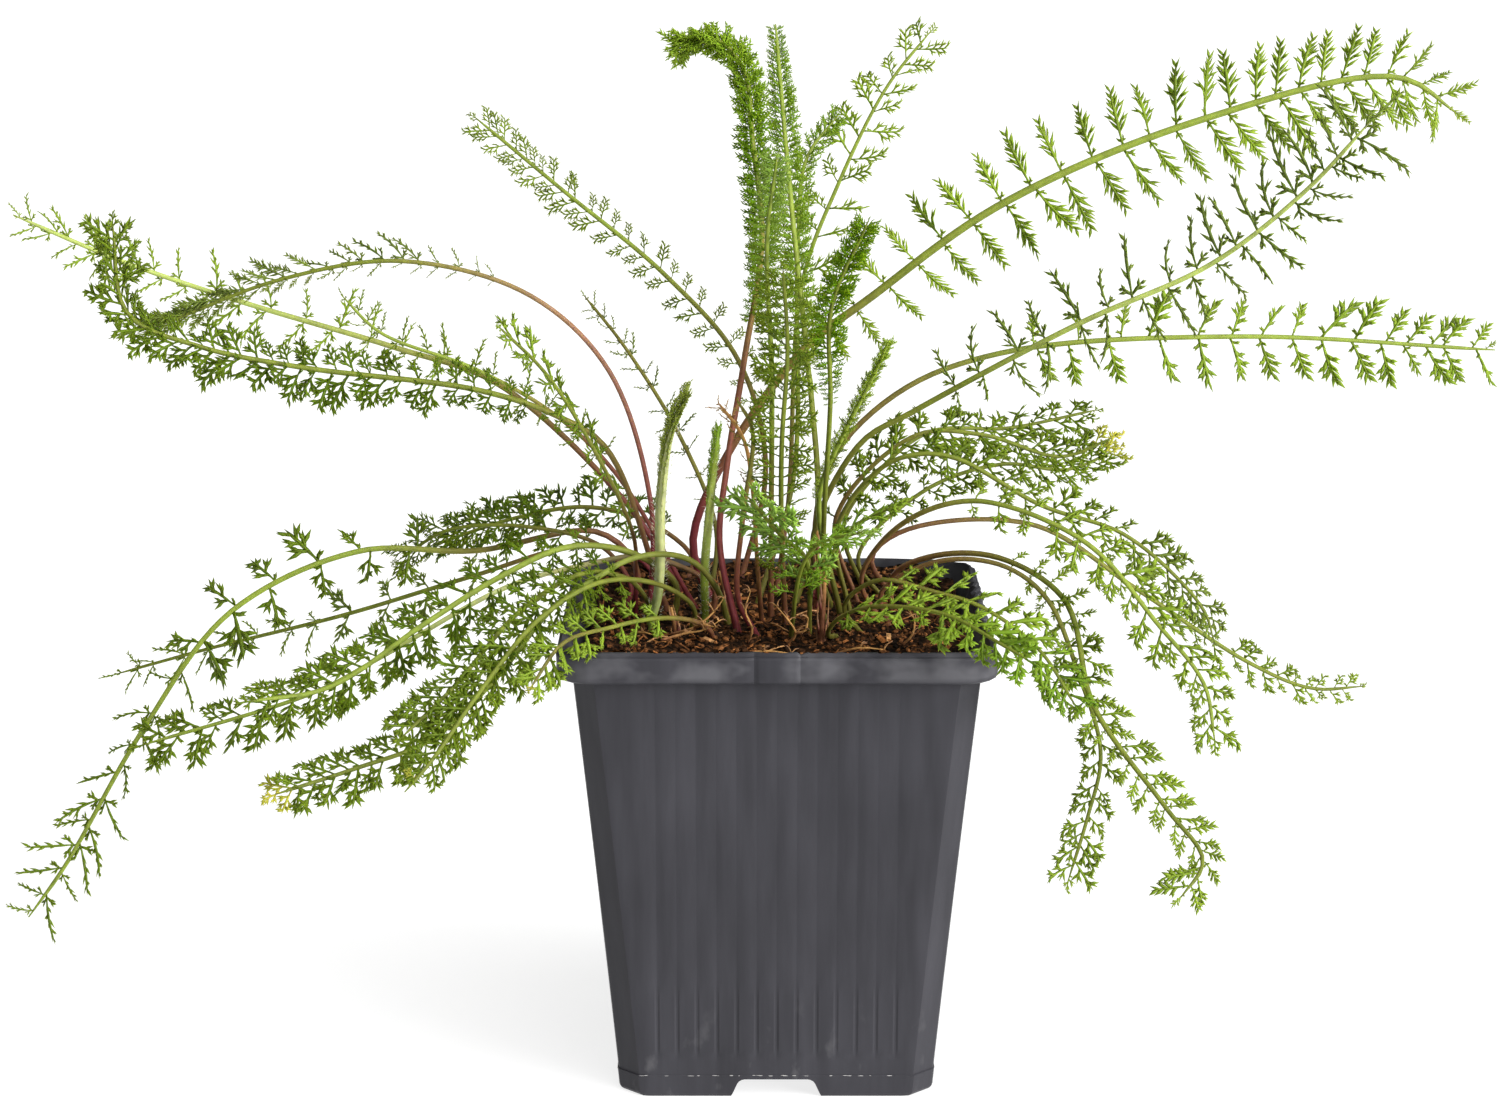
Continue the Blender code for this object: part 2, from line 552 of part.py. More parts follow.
def mixed_at(route, frame, at):
    """Centre, tangent, side and normal at a share of the route's length."""
    spot = at * (len(route) - 1)
    low = min(int(spot), len(route) - 2)
    mix = spot - low
    return [part[low] * (1.0 - mix) + part[low + 1] * mix for part in (route, *frame)]


def fits(leaflet, owner, root, tangent, obstacles):
    for tip in leaflet.tips(root, tangent):
        if obstacles.touches(owner, root, tip):
            return False
        for share in (0.35, 0.7, 1.0):
            if not clear_of_pot(root + (tip - root) * share, 1.0):
                return False
    return True


def plan_leaflets(rows, routes, frames, radii):
    """Choose the leaflets of every leaf, shortened or left out where they would touch."""
    rng = random.Random(7)
    obstacles = Obstacles(routes, radii)
    plans = [[] for _ in rows]
    jobs = []
    for index, row in enumerate(rows):
        pairs, bare = row[3], row[4]
        for pair in range(pairs):
            share = (pair + 0.5) / pairs
            jobs.append((share, index, pair, bare + (1.0 - bare) * share * 0.985))
    for share, index, pair, at in sorted(jobs):
        size, raised = rows[index][2], rows[index][6]
        centre, tangent, side, normal = mixed_at(routes[index], frames[index], at)
        swell = 0.35 + 0.65 * math.sin(math.pi * (0.10 + 0.74 * share)) ** 0.8
        for hand in (-1, 1):
            lean = math.radians(rng.uniform(60, 78) - 16 * share)
            lift = raised * rng.uniform(0.4, 1.0) * (1.0 if pair % 2 else -0.7)
            direction = tangent * math.cos(lean) + side * hand * math.sin(lean)
            direction = direction + normal * lift
            direction /= np.linalg.norm(direction)
            length = size * swell * rng.uniform(0.85, 1.15)
            root = centre + side * hand * radii[index] * 0.6
            for trial in (1.0, 0.72, 0.5):
                leaflet = Leaflet(at, hand, direction, length * trial)
                if fits(leaflet, index, root, tangent, obstacles):
                    plans[index].append(leaflet)
                    obstacles.add(index, root, leaflet.tips(root, tangent))
                    break
    return plans


# ---- leaf meshes -----------------------------------------------------------------------
def stalk_ring(centre, side, normal, radius):
    """Three-sided stalk: a flat channelled top and a keel below."""
    side = side.normalized()
    normal = normal.normalized()
    return [centre + side * radius + normal * radius * 0.55,
            centre - side * radius + normal * radius * 0.55,
            centre - normal * radius * 0.95]


def grow_leaf(row, route, frame, leaflets, radius):
    """Extrude the stalk from its foot to the tip, then draw each leaflet from its side."""
    length = SAMPLE_STEP * (len(route) - 1)
    half_bed = 0.5 * LEAFLET_BASE / length
    beds_at = sorted({leaflet.at for leaflet in leaflets})
    bare_steps = max(2, int(row[4] * length / PETIOLE_STEP))
    stations = []
    for step in range(1, bare_steps):
        stations.append(((beds_at[0] - half_bed) * step / bare_steps, None))
    for at in beds_at:
        stations += [(at - half_bed, None), (at + half_bed, at)]

    bm = bmesh.new()
    centre, _, side, _ = [Vector(v) for v in mixed_at(route, frame, 0.0)]
    level_side = Vector((side.x, side.y, 0.0)).normalized()
    level_normal = Vector((0.0, 0.0, 1.0)).cross(level_side)
    foot = Vector((centre.x, centre.y, STALK_FOOT))
    neck = Vector((centre.x, centre.y, STALK_NECK))
    cap = first_cap(bm, stalk_ring(foot, level_side, level_normal, radius))
    cap = extrude_cap(bm, cap, stalk_ring(neck, level_side, level_normal, radius))
    beds = {}
    for at, bed in stations:
        centre, _, side, normal = [Vector(v) for v in mixed_at(route, frame, at)]
        before = list(cap.verts)
        cap = extrude_cap(bm, cap, stalk_ring(centre, side, normal, radius * (1 - 0.5 * at)))
        if bed is not None:
            right = shared_face(before[2], cap.verts[0])
            left = shared_face(before[1], cap.verts[2])
            beds[bed] = {1: right, -1: left}
    poke_to(bm, cap, Vector(route[-1]))
    close_open_end(bm)
    for leaflet in leaflets:
        axes = [Vector(v) for v in mixed_at(route, frame, leaflet.at)]
        draw_leaflet(bm, beds[leaflet.at][leaflet.hand], leaflet, axes)
    return bm


def shared_face(one, other):
    return (set(one.link_faces) & set(other.link_faces)).pop()


def draw_leaflet(bm, bed, leaflet, axes):
    """A plain leaflet is a point; a lobed one forks into its tip and two side lobes."""
    _, tangent, _, normal = axes
    direction = Vector(leaflet.direction)
    root = bed.calc_center_median()
    tip = root + direction * leaflet.length
    if not leaflet.lobed:
        poke_to(bm, bed, tip)
        return
    across = direction.cross(normal).normalized()
    if across.dot(tangent) < 0.0:
        across = -across
    through = across.cross(direction).normalized()
    fork = root + direction * leaflet.length * LOBE_START
    places = []
    for vert in bed.verts:
        offset = vert.co - root
        along = math.copysign(FORK_WIDTH, offset.dot(tangent))
        above = math.copysign(FORK_THICKNESS, offset.dot(through))
        places.append(fork + across * along * 0.5 + through * above * 0.5)
    cap = extrude_cap(bm, bed, places)
    walls = [face for edge in cap.edges for face in edge.link_faces if face is not cap]
    fore = max(walls, key=lambda face: face.calc_center_median().dot(across))
    aft = min(walls, key=lambda face: face.calc_center_median().dot(across))
    for wall, sign in ((fore, 1.0), (aft, -1.0)):
        out = direction * LOBE_REACH + across * sign * LOBE_SPREAD
        poke_to(bm, wall, root + out * leaflet.length)
    poke_to(bm, cap, tip)


def build_stub(name, foot, tip, thick, parts, material):
    """A short, broken-off stalk, six-sided and narrowing a little."""
    radius = 0.5 * thick
    centres = [Vector((*foot, STALK_FOOT)), Vector((*foot, STALK_NECK)), Vector(tip)]
    rings = []
    for centre, share in zip(centres, (1.0, 1.0, 0.75)):
        ring = []
        for side in range(6):
            turn = math.radians(60.0 * side)
            ring.append(centre + Vector((math.cos(turn), math.sin(turn), 0)) * radius * share)
        rings.append(ring)
    finish_object(name, loft(rings), parts, material)


def main():
    clear_scene()
    parts = make_collection("yarrow_in_pot")
    cutters = make_collection("cutters")
    plastic = make_material("pot_plastic", (0.055, 0.056, 0.062, 1.0), 0.45)
    peat = make_material("peat", (0.045, 0.026, 0.016, 1.0), 0.95)
    straw = make_material("old_stalk", (0.210, 0.120, 0.060, 1.0), 0.80)

    stubs = [np.array([(*foot, STALK_NECK), tip], float) for _, foot, tip, _ in STUBS]
    radii = [row[7] * 0.5 for row in LEAVES] + [stub[3] * 0.5 for stub in STUBS]
    routes = [smooth_route(row[8]) for row in LEAVES] + [smooth_route(stub) for stub in stubs]
    routes = spread_routes(routes, radii, len(LEAVES))
    frames = [side_frames(route, row[5]) for route, row in zip(routes, LEAVES)]
    plans = plan_leaflets(LEAVES, routes, frames, radii)

    build_pot(parts, cutters, plastic)
    feet = [row[8][0][:2] for row in LEAVES] + [stub[1] for stub in STUBS]
    build_soil(parts, cutters, peat, feet)
    for row, route, frame, plan, radius in zip(LEAVES, routes, frames, plans, radii):
        material = make_material(row[0] + "_skin", row[1], 0.55)
        finish_object(row[0], grow_leaf(row, route, frame, plan, radius), parts, material)
    for name, foot, tip, thick in STUBS:
        build_stub(name, foot, tip, thick, parts, straw)


main()
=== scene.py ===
"""Looks of the potted yarrow: finely cut leaves on arching stalks over a ribbed square pot.

Every leaf stands on the same route as its stalk in the frame. Lengths in the tables are
millimetres; finished meshes are metres, and every finished object sits at the origin.
"""
import math
import random
from collections import namedtuple

import bmesh
import bpy
import numpy as np
from mathutils import Matrix, Vector, noise


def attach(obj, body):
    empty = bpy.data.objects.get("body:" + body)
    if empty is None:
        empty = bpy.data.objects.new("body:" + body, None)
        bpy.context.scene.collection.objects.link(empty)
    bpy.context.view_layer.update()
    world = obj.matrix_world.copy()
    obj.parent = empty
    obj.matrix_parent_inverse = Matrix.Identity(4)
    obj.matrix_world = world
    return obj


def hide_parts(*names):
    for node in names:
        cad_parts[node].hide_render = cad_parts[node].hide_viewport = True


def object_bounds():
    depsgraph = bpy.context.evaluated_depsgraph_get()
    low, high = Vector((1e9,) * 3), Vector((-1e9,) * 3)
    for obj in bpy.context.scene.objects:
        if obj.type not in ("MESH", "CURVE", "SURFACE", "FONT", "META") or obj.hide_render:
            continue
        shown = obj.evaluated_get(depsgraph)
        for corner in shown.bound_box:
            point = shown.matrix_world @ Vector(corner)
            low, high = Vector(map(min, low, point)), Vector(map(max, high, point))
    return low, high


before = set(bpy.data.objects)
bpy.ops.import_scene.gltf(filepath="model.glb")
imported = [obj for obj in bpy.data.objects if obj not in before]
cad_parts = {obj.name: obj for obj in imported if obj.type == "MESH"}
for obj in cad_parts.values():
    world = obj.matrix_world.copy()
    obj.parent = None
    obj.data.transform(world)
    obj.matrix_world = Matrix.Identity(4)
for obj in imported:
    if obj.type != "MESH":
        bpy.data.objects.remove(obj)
cad_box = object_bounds()

MM = 0.001
IN_METRES = Matrix.Diagonal((MM, MM, MM, 1.0))
BOX_LOW = np.array(cad_box[0]) / MM
BOX_HIGH = np.array(cad_box[1]) / MM

# ---- measures of the pot ---------------------------------------------------------------
POT_HEIGHT = 99.0
FOOT_HALF = 33.0
NECK_HALF = 41.4
RIM_HALF = 45.0
RIM_BAND = 6.5
BODY_CHAMFER = 5.0
RIM_CORNER = 7.0
WALL = 1.2
FOOT_RIM = 3.0
FLOOR_UNDER = 4.2
FLOOR_TOP = 5.4
NOTCH_TOP = 15.5
NOTCH_BOTTOM = 19.5
NOTCH_HEIGHT = 4.0
DRAIN_RADIUS = 4.0
DRAIN_REACH = 13.5
RIB_PITCH = 4.15
RIB_DEPTH = 0.32

# ---- measures of the soil --------------------------------------------------------------
SOIL_TOP = 94.0
SOIL_HALF = 39.6
INSIDE_WALL = 39.0

# ---- table of the leaves ---------------------------------------------------------------
STALK_FOOT = 85.3
STALK_NECK = 95.0
SAMPLE_STEP = 2.5
STALK_CLEARANCE = 1.0
BEND_ROUNDS = 60
BEND_SPREAD = 3.0

# Two lines for each leaf. The first has its name, finish, leaflet length, pairs of
# leaflets, bare share of the stalk, roll of the blade about the stalk in degrees, how far
# the leaflets lift out of the blade's plane, stalk thickness, and the x and y where it
# leaves the soil. The second has the route of the stalk from there to the tip.
Leaf = namedtuple("Leaf", "name finish size pairs bare roll lift thick route")
LEAF_ROWS = """
frond_01 pale 8.5 13 0.42 -65 0.3 1.5 -20 22
  -31,23,114 -60,24,142 -82,24,150 -115,24,160 -141,24,169 -164,24,179
frond_02 dark 8.5 24 0.28 -45 0.6 1.4 -23 6
  -36,-1,133 -46,-3,140 -62,-6,146 -99,-12,152 -119,-16,157 -133,-18,164 -135,-20,183
frond_03 green 6.0 16 0.52 -60 0.3 1.3 -27 14
  -27,15,118 -36,15,147 -53,16,163 -80,17,170 -106,17,166 -132,18,156
frond_04 green 7.5 9 0.35 -70 0.3 1.1 -17 10
  -34,9,125 -47,9,138 -64,9,148 -84,8,156 -92,8,164
frond_05 green 7.0 9 0.25 -60 0.3 1.1 -30 4
  -30,-5,114 -38,-17,136 -47,-26,153 -56,-34,164
frond_06 green 7.0 18 0.30 -60 0.3 1.3 -8 30
  -2,37,121 -8,43,144 -24,49,162 -48,56,181 -67,62,196
frond_07 green 6.0 9 0.25 -60 0.3 1.1 -14 26
  -13,29,109 -21,33,129 -33,37,148 -42,40,159
frond_08 bright 8.5 26 0.48 15 0.9 1.5 -8 -12
  -12,-9,116 -7,-3,150 -3,1,177 -5,5,197 -7,7,212 -13,8,218 -22,10,216
frond_09 green 3.0 4 0.45 0 0.3 1.3 -4 -14
  -8,-17,104 -7,-22,122 -5,-28,142 -8,-30,148
frond_10 bright 4.5 26 0.42 15 0.9 1.5 4 12
  9,15,114 7,21,147 4,26,175 1,32,207 0,34,219
frond_11 pale 4.0 10 0.52 0 0.6 1.3 -1 4
  -1,-1,117 -1,-8,151 -2,-14,179 0,-18,196
frond_12 dark 4.5 16 0.15 0 0.9 1.2 2 -6
  1,-18,121 1,-27,139 2,-37,160 1,-46,177
frond_13 green 8.5 14 0.35 20 0.5 1.2 0 20
  3,28,116 6,44,161 14,52,182 25,60,203 35,66,215
frond_14 dark 5.0 12 0.40 20 0.3 1.2 -4 14
  4,25,121 5,43,167 7,51,188 14,56,197
frond_15 bright 5.0 16 0.55 10 0.9 1.3 10 -2
  10,-10,119 11,-20,146 11,-27,167 18,-34,185
frond_16 bright 2.8 14 0.42 20 0.9 1.3 14 4
  9,-6,123 14,-12,138 19,-16,149 23,-20,159
frond_17 green 5.5 6 0.30 0 0.3 1.1 7 -12
  6,-24,114 1,-30,120 -6,-38,130
frond_18 green 5.0 5 0.30 0 0.3 1.0 3 -16
  5,-29,113 8,-34,119 17,-44,124
frond_19 green 12.5 24 0.30 75 0.3 2.0 -14 18
  -18,19,108 -10,20,128 7,21,151 20,22,161 48,24,181 91,27,199 134,29,208 147,30,200
frond_20 pale 10.0 16 0.36 65 0.3 1.5 12 12
  8,10,110 18,8,132 29,7,139 64,2,159 91,-1,172 110,-4,188 122,-6,202
frond_21 green 10.5 16 0.42 75 0.3 1.4 14 20
  9,22,104 12,26,124 27,31,139 50,36,147 103,46,149 163,58,144
frond_22 dark 7.5 13 0.20 45 0.3 1.2 18 14
  13,15,114 30,17,132 45,18,132 62,19,127 73,20,131
frond_23 dark 7.5 10 0.25 40 0.3 1.1 20 24
  15,29,109 21,32,119 34,37,129 52,42,129 72,48,132
frond_24 green 8.0 16 0.25 45 0.3 1.2 16 8
  13,5,114 24,2,129 36,0,131 56,-4,121 74,-7,115 90,-11,100 92,-12,94
frond_25 dark 7.5 11 0.30 40 0.3 1.1 24 18
  18,21,104 33,27,118 50,31,123 65,35,121 76,38,125
frond_26 green 8.5 14 0.35 50 0.3 1.3 22 2
  18,-2,104 22,-5,113 31,-10,121 43,-14,124 64,-23,117 78,-32,102 87,-38,91 89,-42,80
frond_27 green 8.5 14 0.42 55 0.3 1.3 26 22
  21,25,103 28,26,109 57,33,109 81,39,93 108,46,74 123,50,67 135,52,67
frond_28 green 9.0 16 0.30 40 0.3 1.4 25 8
  25,4,104 34,-3,110 47,-10,111 60,-19,104 65,-31,85 79,-46,67 86,-53,58 81,-58,52
frond_29 green 8.5 11 0.38 40 0.3 1.2 24 -5
  22,-8,103 34,-13,111 47,-17,111 56,-21,105 63,-26,89 67,-31,74 64,-36,62 60,-40,50
frond_30 green 5.5 10 0.25 30 0.3 1.1 13 -15
  9,-21,99 15,-29,104 22,-37,107 34,-49,108 44,-61,105 49,-66,103
frond_31 green 5.5 9 0.30 35 0.3 1.1 18 -12
  14,-16,102 21,-22,109 32,-28,108 42,-34,106 53,-41,99 60,-48,89
frond_32 bright 4.5 6 0.30 30 0.3 1.0 11 -8
  9,-15,107 15,-20,119 24,-24,125
frond_33 dark 8.0 14 0.22 -45 0.3 1.2 -21 28
  -18,32,101 -28,40,108 -42,47,110 -58,55,106 -79,66,97
frond_34 pale 10.0 18 0.30 -55 0.3 1.5 -30 24
  -31,23,103 -39,21,110 -65,15,107 -90,10,108 -117,4,96 -136,-1,71 -153,-5,42 -161,-7,31
frond_35 green 8.5 14 0.25 -50 0.3 1.2 -25 31
  -30,34,101 -43,38,103 -69,46,94 -98,56,83 -132,67,72 -154,71,65
frond_36 pale 9.0 13 0.40 -55 0.3 1.3 -14 2
  -13,1,102 -27,-2,109 -41,-4,108 -57,-7,104 -83,-11,90 -97,-14,83 -133,-20,73
frond_37 bright 8.0 18 0.33 -45 0.3 1.4 -10 -5
  -12,-8,103 -18,-12,111 -28,-17,113 -44,-25,106 -58,-36,91 -70,-44,81 -85,-52,77 -100,-60,74
frond_38 bright 8.0 15 0.30 -45 0.3 1.5 -22 -2
  -21,-5,104 -29,-11,112 -43,-17,115 -57,-23,110 -72,-31,102 -91,-41,91 -106,-48,90
frond_39 green 8.0 13 0.28 -45 0.3 1.2 -18 -8
  -17,-11,100 -24,-18,107 -36,-28,110 -48,-39,105 -59,-54,94 -68,-67,83 -73,-72,78
frond_40 dark 8.0 11 0.28 -45 0.3 1.2 -27 -4
  -26,-8,100 -31,-16,108 -41,-24,110 -52,-36,106 -65,-54,94 -74,-64,87
frond_41 pale 5.0 8 0.32 -45 0.3 1.1 -13 -17
  -14,-19,98 -18,-24,101 -25,-31,103 -34,-39,103 -43,-48,102 -49,-56,95
frond_42 dark 8.0 9 0.30 -45 0.3 1.1 -33 10
  -31,11,99 -37,13,108 -51,15,112 -71,18,111 -82,20,104
dead_leaf dead 4.0 8 0.40 0 0.8 1.1 -3 -2
  -4,-8,110 -5,-15,127 -7,-21,139 -12,-26,147
young_leaf_1 woolly 1.6 9 0.25 30 0.5 2.2 -27 -10
  -25,-10,110 -24,-10,126 -22,-11,138 -18,-13,147
young_leaf_2 woolly 1.4 6 0.30 30 0.5 1.8 -15 -3
  -15,-5,109 -13,-7,127 -12,-9,139
"""

# How each leaf is dressed: leaflet kit (or one up to the blade's middle and one beyond
# it), leaflet pairs as a share of those in its frame, length of the leaflets above and
# below the stalk as shares of the frame's, turns from the stalk in degrees (above and
# below it at the blade's foot, and at the tip), lengths at the blade's foot, middle and
# tip as shares of the full length, leaflet colour, colour at the leaf's tip, and the
# stalk's colour at the soil, half-way and along the blade.
Dress = namedtuple("Dress", "kits crowd above below turns profile colour tip stalk")
# frond_08's fresh tip colour is partly painted light on the shaded hook of its plume.
DRESS_ROWS = """
frond_01 sparse 1.20 1.15 1.05  90 62 44  0.8 1.0 0.8  light light wine olive pale
frond_02 broad 1.60 0.90 1.08  84 70 40  0.45 1.0 0.95  deep green brown moss moss
frond_03 sparse+feather 1.45 1.75 0.95  66 44 16  0.35 0.8 1.5  grey_green grey_green wine tan moss
frond_04 sparse 1.30 0.95 0.80  86 80 56  0.8 1.0 0.7  green green wine brown lime
frond_05 palm 1.10 1.05 1.05  72 66 45  0.7 1.0 0.8  green light wine olive moss
frond_06 lacy 1.35 0.84 0.98  66 58 44  0.6 0.9 0.9  green light brown olive lime
frond_07 sparse 1.30 0.85 0.80  64 60 40  0.7 1.0 0.7  dark grey_green olive olive olive
frond_08 plume 4.4 0.62 0.62  84 84 66  0.45 0.80 1.0  rich fresh wine brown moss
frond_09 sparse 1.0 1.0 1.0  60 60 40  0.8 1.0 0.7  green green wine brown olive
frond_10 plume 2.3 0.88 0.88  80 80 60  0.55 1.0 0.5  leafy rich olive moss lime
frond_11 plume 3.4 0.95 0.95  86 86 70  0.5 0.9 1.0  leafy cool brown moss lime
frond_12 lacy 2.2 1.5 1.5  80 80 60  0.7 1.0 0.7  green deep brown moss moss
frond_13 lacy 1.00 1.06 0.96  66 66 46  0.8 1.0 0.8  light light brown moss lime
frond_14 plume 2.2 0.80 0.80  60 60 44  0.6 1.0 1.0  leafy leafy olive moss lime
frond_15 plume 2.9 0.80 0.80  84 84 60  0.30 1.0 0.80  rich rich olive moss moss
frond_16 plume 4.6 0.85 0.85  60 60 44  0.8 1.0 0.8  light fresh olive lime lime
frond_17 palm 1.6 1.6 1.6  66 66 44  0.8 1.0 0.9  cool cool olive moss moss
frond_18 lacy 1.5 1.5 1.5  66 66 44  0.8 1.0 0.9  leafy cool olive moss moss
frond_19 feather 1.05 1.00 1.05  98 90 56  0.62 1.05 0.7  light light wine moss lime
frond_20 sparse 1.15 1.30 1.25  92 104 58  0.7 1.0 1.0  grey_green grey_green olive moss pale
frond_21 fan 0.92 1.02 1.00  78 82 54  0.7 1.0 0.8  light light brown moss lime
frond_22 palm 1.30 1.00 0.94  70 70 46  0.7 1.0 0.8  green yellow brown olive moss
frond_23 palm 1.25 1.05 1.00  70 70 46  0.7 1.0 0.7  green green olive moss moss
frond_24 palm 1.15 0.92 0.84  70 70 46  0.7 1.0 0.8  green grey_green olive moss moss
frond_25 palm 1.60 0.92 0.88  70 70 46  0.7 1.0 0.8  green yellow olive moss moss
frond_26 palm 1.15 0.98 0.86  74 74 50  0.6 1.0 0.85  light light brown moss lime
frond_27 palm 1.20 0.72 0.62  74 74 50  0.8 1.0 0.7  green light brown olive moss
frond_28 fan 1.50 0.86 0.74  74 74 50  0.5 0.85 1.0  light light brown moss moss
frond_29 palm 1.35 0.84 0.76  74 74 50  0.5 0.9 1.0  green light brown olive moss
frond_30 maple 1.25 1.45 1.40  70 70 46  0.7 1.0 0.8  light leafy olive olive moss
frond_31 maple 1.25 1.40 1.35  70 70 46  0.7 1.0 0.8  light leafy olive olive moss
frond_32 palm 1.5 1.7 1.7  70 70 50  0.8 1.0 0.9  leafy light olive moss moss
frond_33 palm 1.55 0.95 0.86  74 74 48  0.7 1.0 0.8  dark dark brown olive moss
frond_34 palm+sparse 0.85 1.05 1.10  80 80 50  0.8 1.0 0.9  green green brown lime lime
frond_35 palm+sparse 0.95 0.95 0.92  76 76 40  0.7 1.0 0.9  grey_green green wine moss moss
frond_36 palm 1.05 0.92 0.94  76 76 44  0.7 1.0 0.9  green green brown ivory lime
frond_37 palm 1.35 0.92 0.98  74 74 46  0.7 1.0 0.9  green yellow olive lime moss
frond_38 palm 1.25 0.95 1.00  74 74 46  0.6 1.0 0.9  deep green olive lime lime
frond_39 palm 1.5 0.92 0.96  74 74 46  0.7 1.0 0.9  green yellow olive moss moss
frond_40 palm 1.6 0.92 0.96  74 74 46  0.7 1.0 0.9  deep green olive moss moss
frond_41 maple 1.30 1.25 1.25  66 66 46  0.7 1.0 0.8  light yellow brown moss olive
frond_42 palm+lacy 1.6 0.92 0.92  74 74 48  0.7 1.0 0.8  deep dark wine olive moss
dead_leaf sparse 1.3 1.0 1.0  60 60 40  1.0 1.0 1.0  dry straw brown straw straw
"""

# The folded young leaves: half width of the band, bare share, rows of lobes, lobe length,
# lobe colour at the foot and at the tip, and the band's colours from foot to tip.
Young = namedtuple("Young", "broad bare rows size foot tip band")
YOUNG = {
    "young_leaf_1": Young(2.1, 0.40, 44, 3.1, "pale", "lime",
                          ("light", "ivory", "ivory", "ivory", "light")),
    "young_leaf_2": Young(1.30, 0.30, 38, 2.0, "light", "leafy",
                          ("moss", "lime", "pale", "lime", "leafy"))}

# Old brown stalk stubs at the crown.
Stub = namedtuple("Stub", "name foot tip thick")
STUBS = [
    Stub("stub_1", (9, -19), (10, -23, 112), 2.2),
    Stub("stub_2", (8, 6), (9, 3, 115), 2.0),
    Stub("stub_3", (-9, 7), (-12, 4, 106), 1.8),
    Stub("stub_4", (-19, -14), (-22, -17, 103), 1.8),
]

# Colours as sRGB bytes.
COLOURS = {
    "wine": (120, 50, 54), "brown": (126, 82, 58), "tan": (158, 118, 92),
    "olive": (112, 108, 46), "moss": (114, 124, 44), "lime": (136, 152, 60),
    "pale": (176, 190, 104), "ivory": (200, 206, 140), "green": (92, 112, 22),
    "dark": (70, 88, 18), "rich": (86, 124, 2), "deep": (78, 100, 12),
    "light": (120, 144, 40), "grey_green": (98, 114, 44), "leafy": (104, 138, 30),
    # fresh is partly painted light where it tips frond_08.
    "cool": (124, 158, 62), "fresh": (138, 172, 42), "yellow": (200, 194, 70),
    "straw": (182, 136, 80), "dry": (112, 74, 46), "hair": (226, 230, 196),
}
PEAT = ((24, 16, 10), (40, 26, 16), (62, 40, 24), (94, 60, 34), (132, 86, 50))
BARK = ((170, 116, 66), (196, 146, 96), (140, 88, 48))


def read_leaves():
    """The rows of leaves, each stalk's foot put at the start of its route."""
    lines = LEAF_ROWS.split("\n")[1:-1]
    leaves = []
    for head, rest in zip(lines[::2], lines[1::2]):
        name, finish, *numbers = head.split()
        *numbers, x, y = map(float, numbers)
        route = [tuple(map(float, point.split(","))) for point in rest.split()]
        leaves.append(Leaf(name, finish, *numbers, [(x, y, STALK_NECK)] + route))
    return leaves


def read_dress():
    """The rows of dress by name of leaf; the stalk's three colours end each row."""
    dresses = {}
    for line in DRESS_ROWS.split("\n")[1:-1]:
        name, kits, *row = line.split()
        numbers = list(map(float, row[:9]))
        dresses[name] = Dress(kits.split("+"), *numbers[:3], numbers[3:6], numbers[6:],
                              row[9], row[10], row[11:])
    return dresses


LEAVES = read_leaves()
DRESSES = read_dress()


# ---- working by hand -------------------------------------------------------------------
def take(*things):
    """Make these objects the only ones selected, the last of them active."""
    bpy.ops.object.select_all(action="DESELECT")
    for thing in things:
        thing.select_set(True)
    bpy.context.view_layer.objects.active = things[-1]


def begin_edit(thing):
    take(thing)
    bpy.ops.object.mode_set(mode="EDIT")
    bpy.ops.mesh.select_all(action="SELECT")


def end_edit():
    bpy.ops.object.mode_set(mode="OBJECT")


def end_edit_faced():
    """Turn every face outwards, then leave edit mode."""
    bpy.ops.mesh.select_all(action="SELECT")
    bpy.ops.mesh.normals_make_consistent(inside=False)
    end_edit()


def pick(kind, test):
    """In edit mode, select just the faces, edges or verts that pass the test."""
    bpy.ops.mesh.select_mode(type=kind.rstrip("s").upper())
    bpy.ops.mesh.select_all(action="DESELECT")
    mesh = bpy.context.edit_object.data
    bm = bmesh.from_edit_mesh(mesh)
    for item in getattr(bm, kind):
        if test(item):
            item.select_set(True)
    bm.select_flush_mode()
    bmesh.update_edit_mesh(mesh)


def pick_underside():
    pick("faces", lambda face: face.normal.z < -0.6)


def extrude(step):
    bpy.ops.mesh.extrude_region_move(TRANSFORM_OT_translate={"value": step})


def resize(x, y, z, **settings):
    bpy.ops.transform.resize(value=(x, y, z), **settings)


def rename(thing, name):
    thing.name = name
    thing.data.name = name
    return thing


def settle():
    """Put the new object's place, turn and size into its mesh."""
    bpy.ops.object.transform_apply(location=True, rotation=True, scale=True)
    return bpy.context.object


def spike(radius, depth, height):
    """A new three-sided spike pointing up, its middle at this height."""
    bpy.ops.mesh.primitive_cone_add(vertices=3, radius1=radius, radius2=0.0, depth=depth,
                                    location=(0, 0, height))
    return settle()


def add_to_scene(thing):
    bpy.context.scene.collection.objects.link(thing)
    return thing


def copy_of(thing, matrix=None):
    """A copy with its own mesh, its place put into that mesh."""
    twin = thing.copy()
    twin.data = thing.data.copy()
    if matrix is not None:
        twin.data.transform(matrix)
    return add_to_scene(twin)


def join(things, name):
    take(*things)
    bpy.ops.object.join()
    return rename(bpy.context.object, name)


def discard(*things):
    for thing in things:
        bpy.data.objects.remove(thing)


def cut_away(body, cutter):
    modifier = body.modifiers.new("cut", "BOOLEAN")
    modifier.operation = "DIFFERENCE"
    modifier.object = cutter
    modifier.solver = "EXACT"
    take(body)
    bpy.ops.object.modifier_apply(modifier=modifier.name)
    discard(cutter)


def points_of(thing):
    flat = np.empty(len(thing.data.vertices) * 3, np.float32)
    thing.data.vertices.foreach_get("co", flat)
    return flat.reshape(-1, 3).astype(float)


def move_points(thing, points):
    thing.data.vertices.foreach_set("co", np.asarray(points, np.float32).ravel())
    thing.data.update()


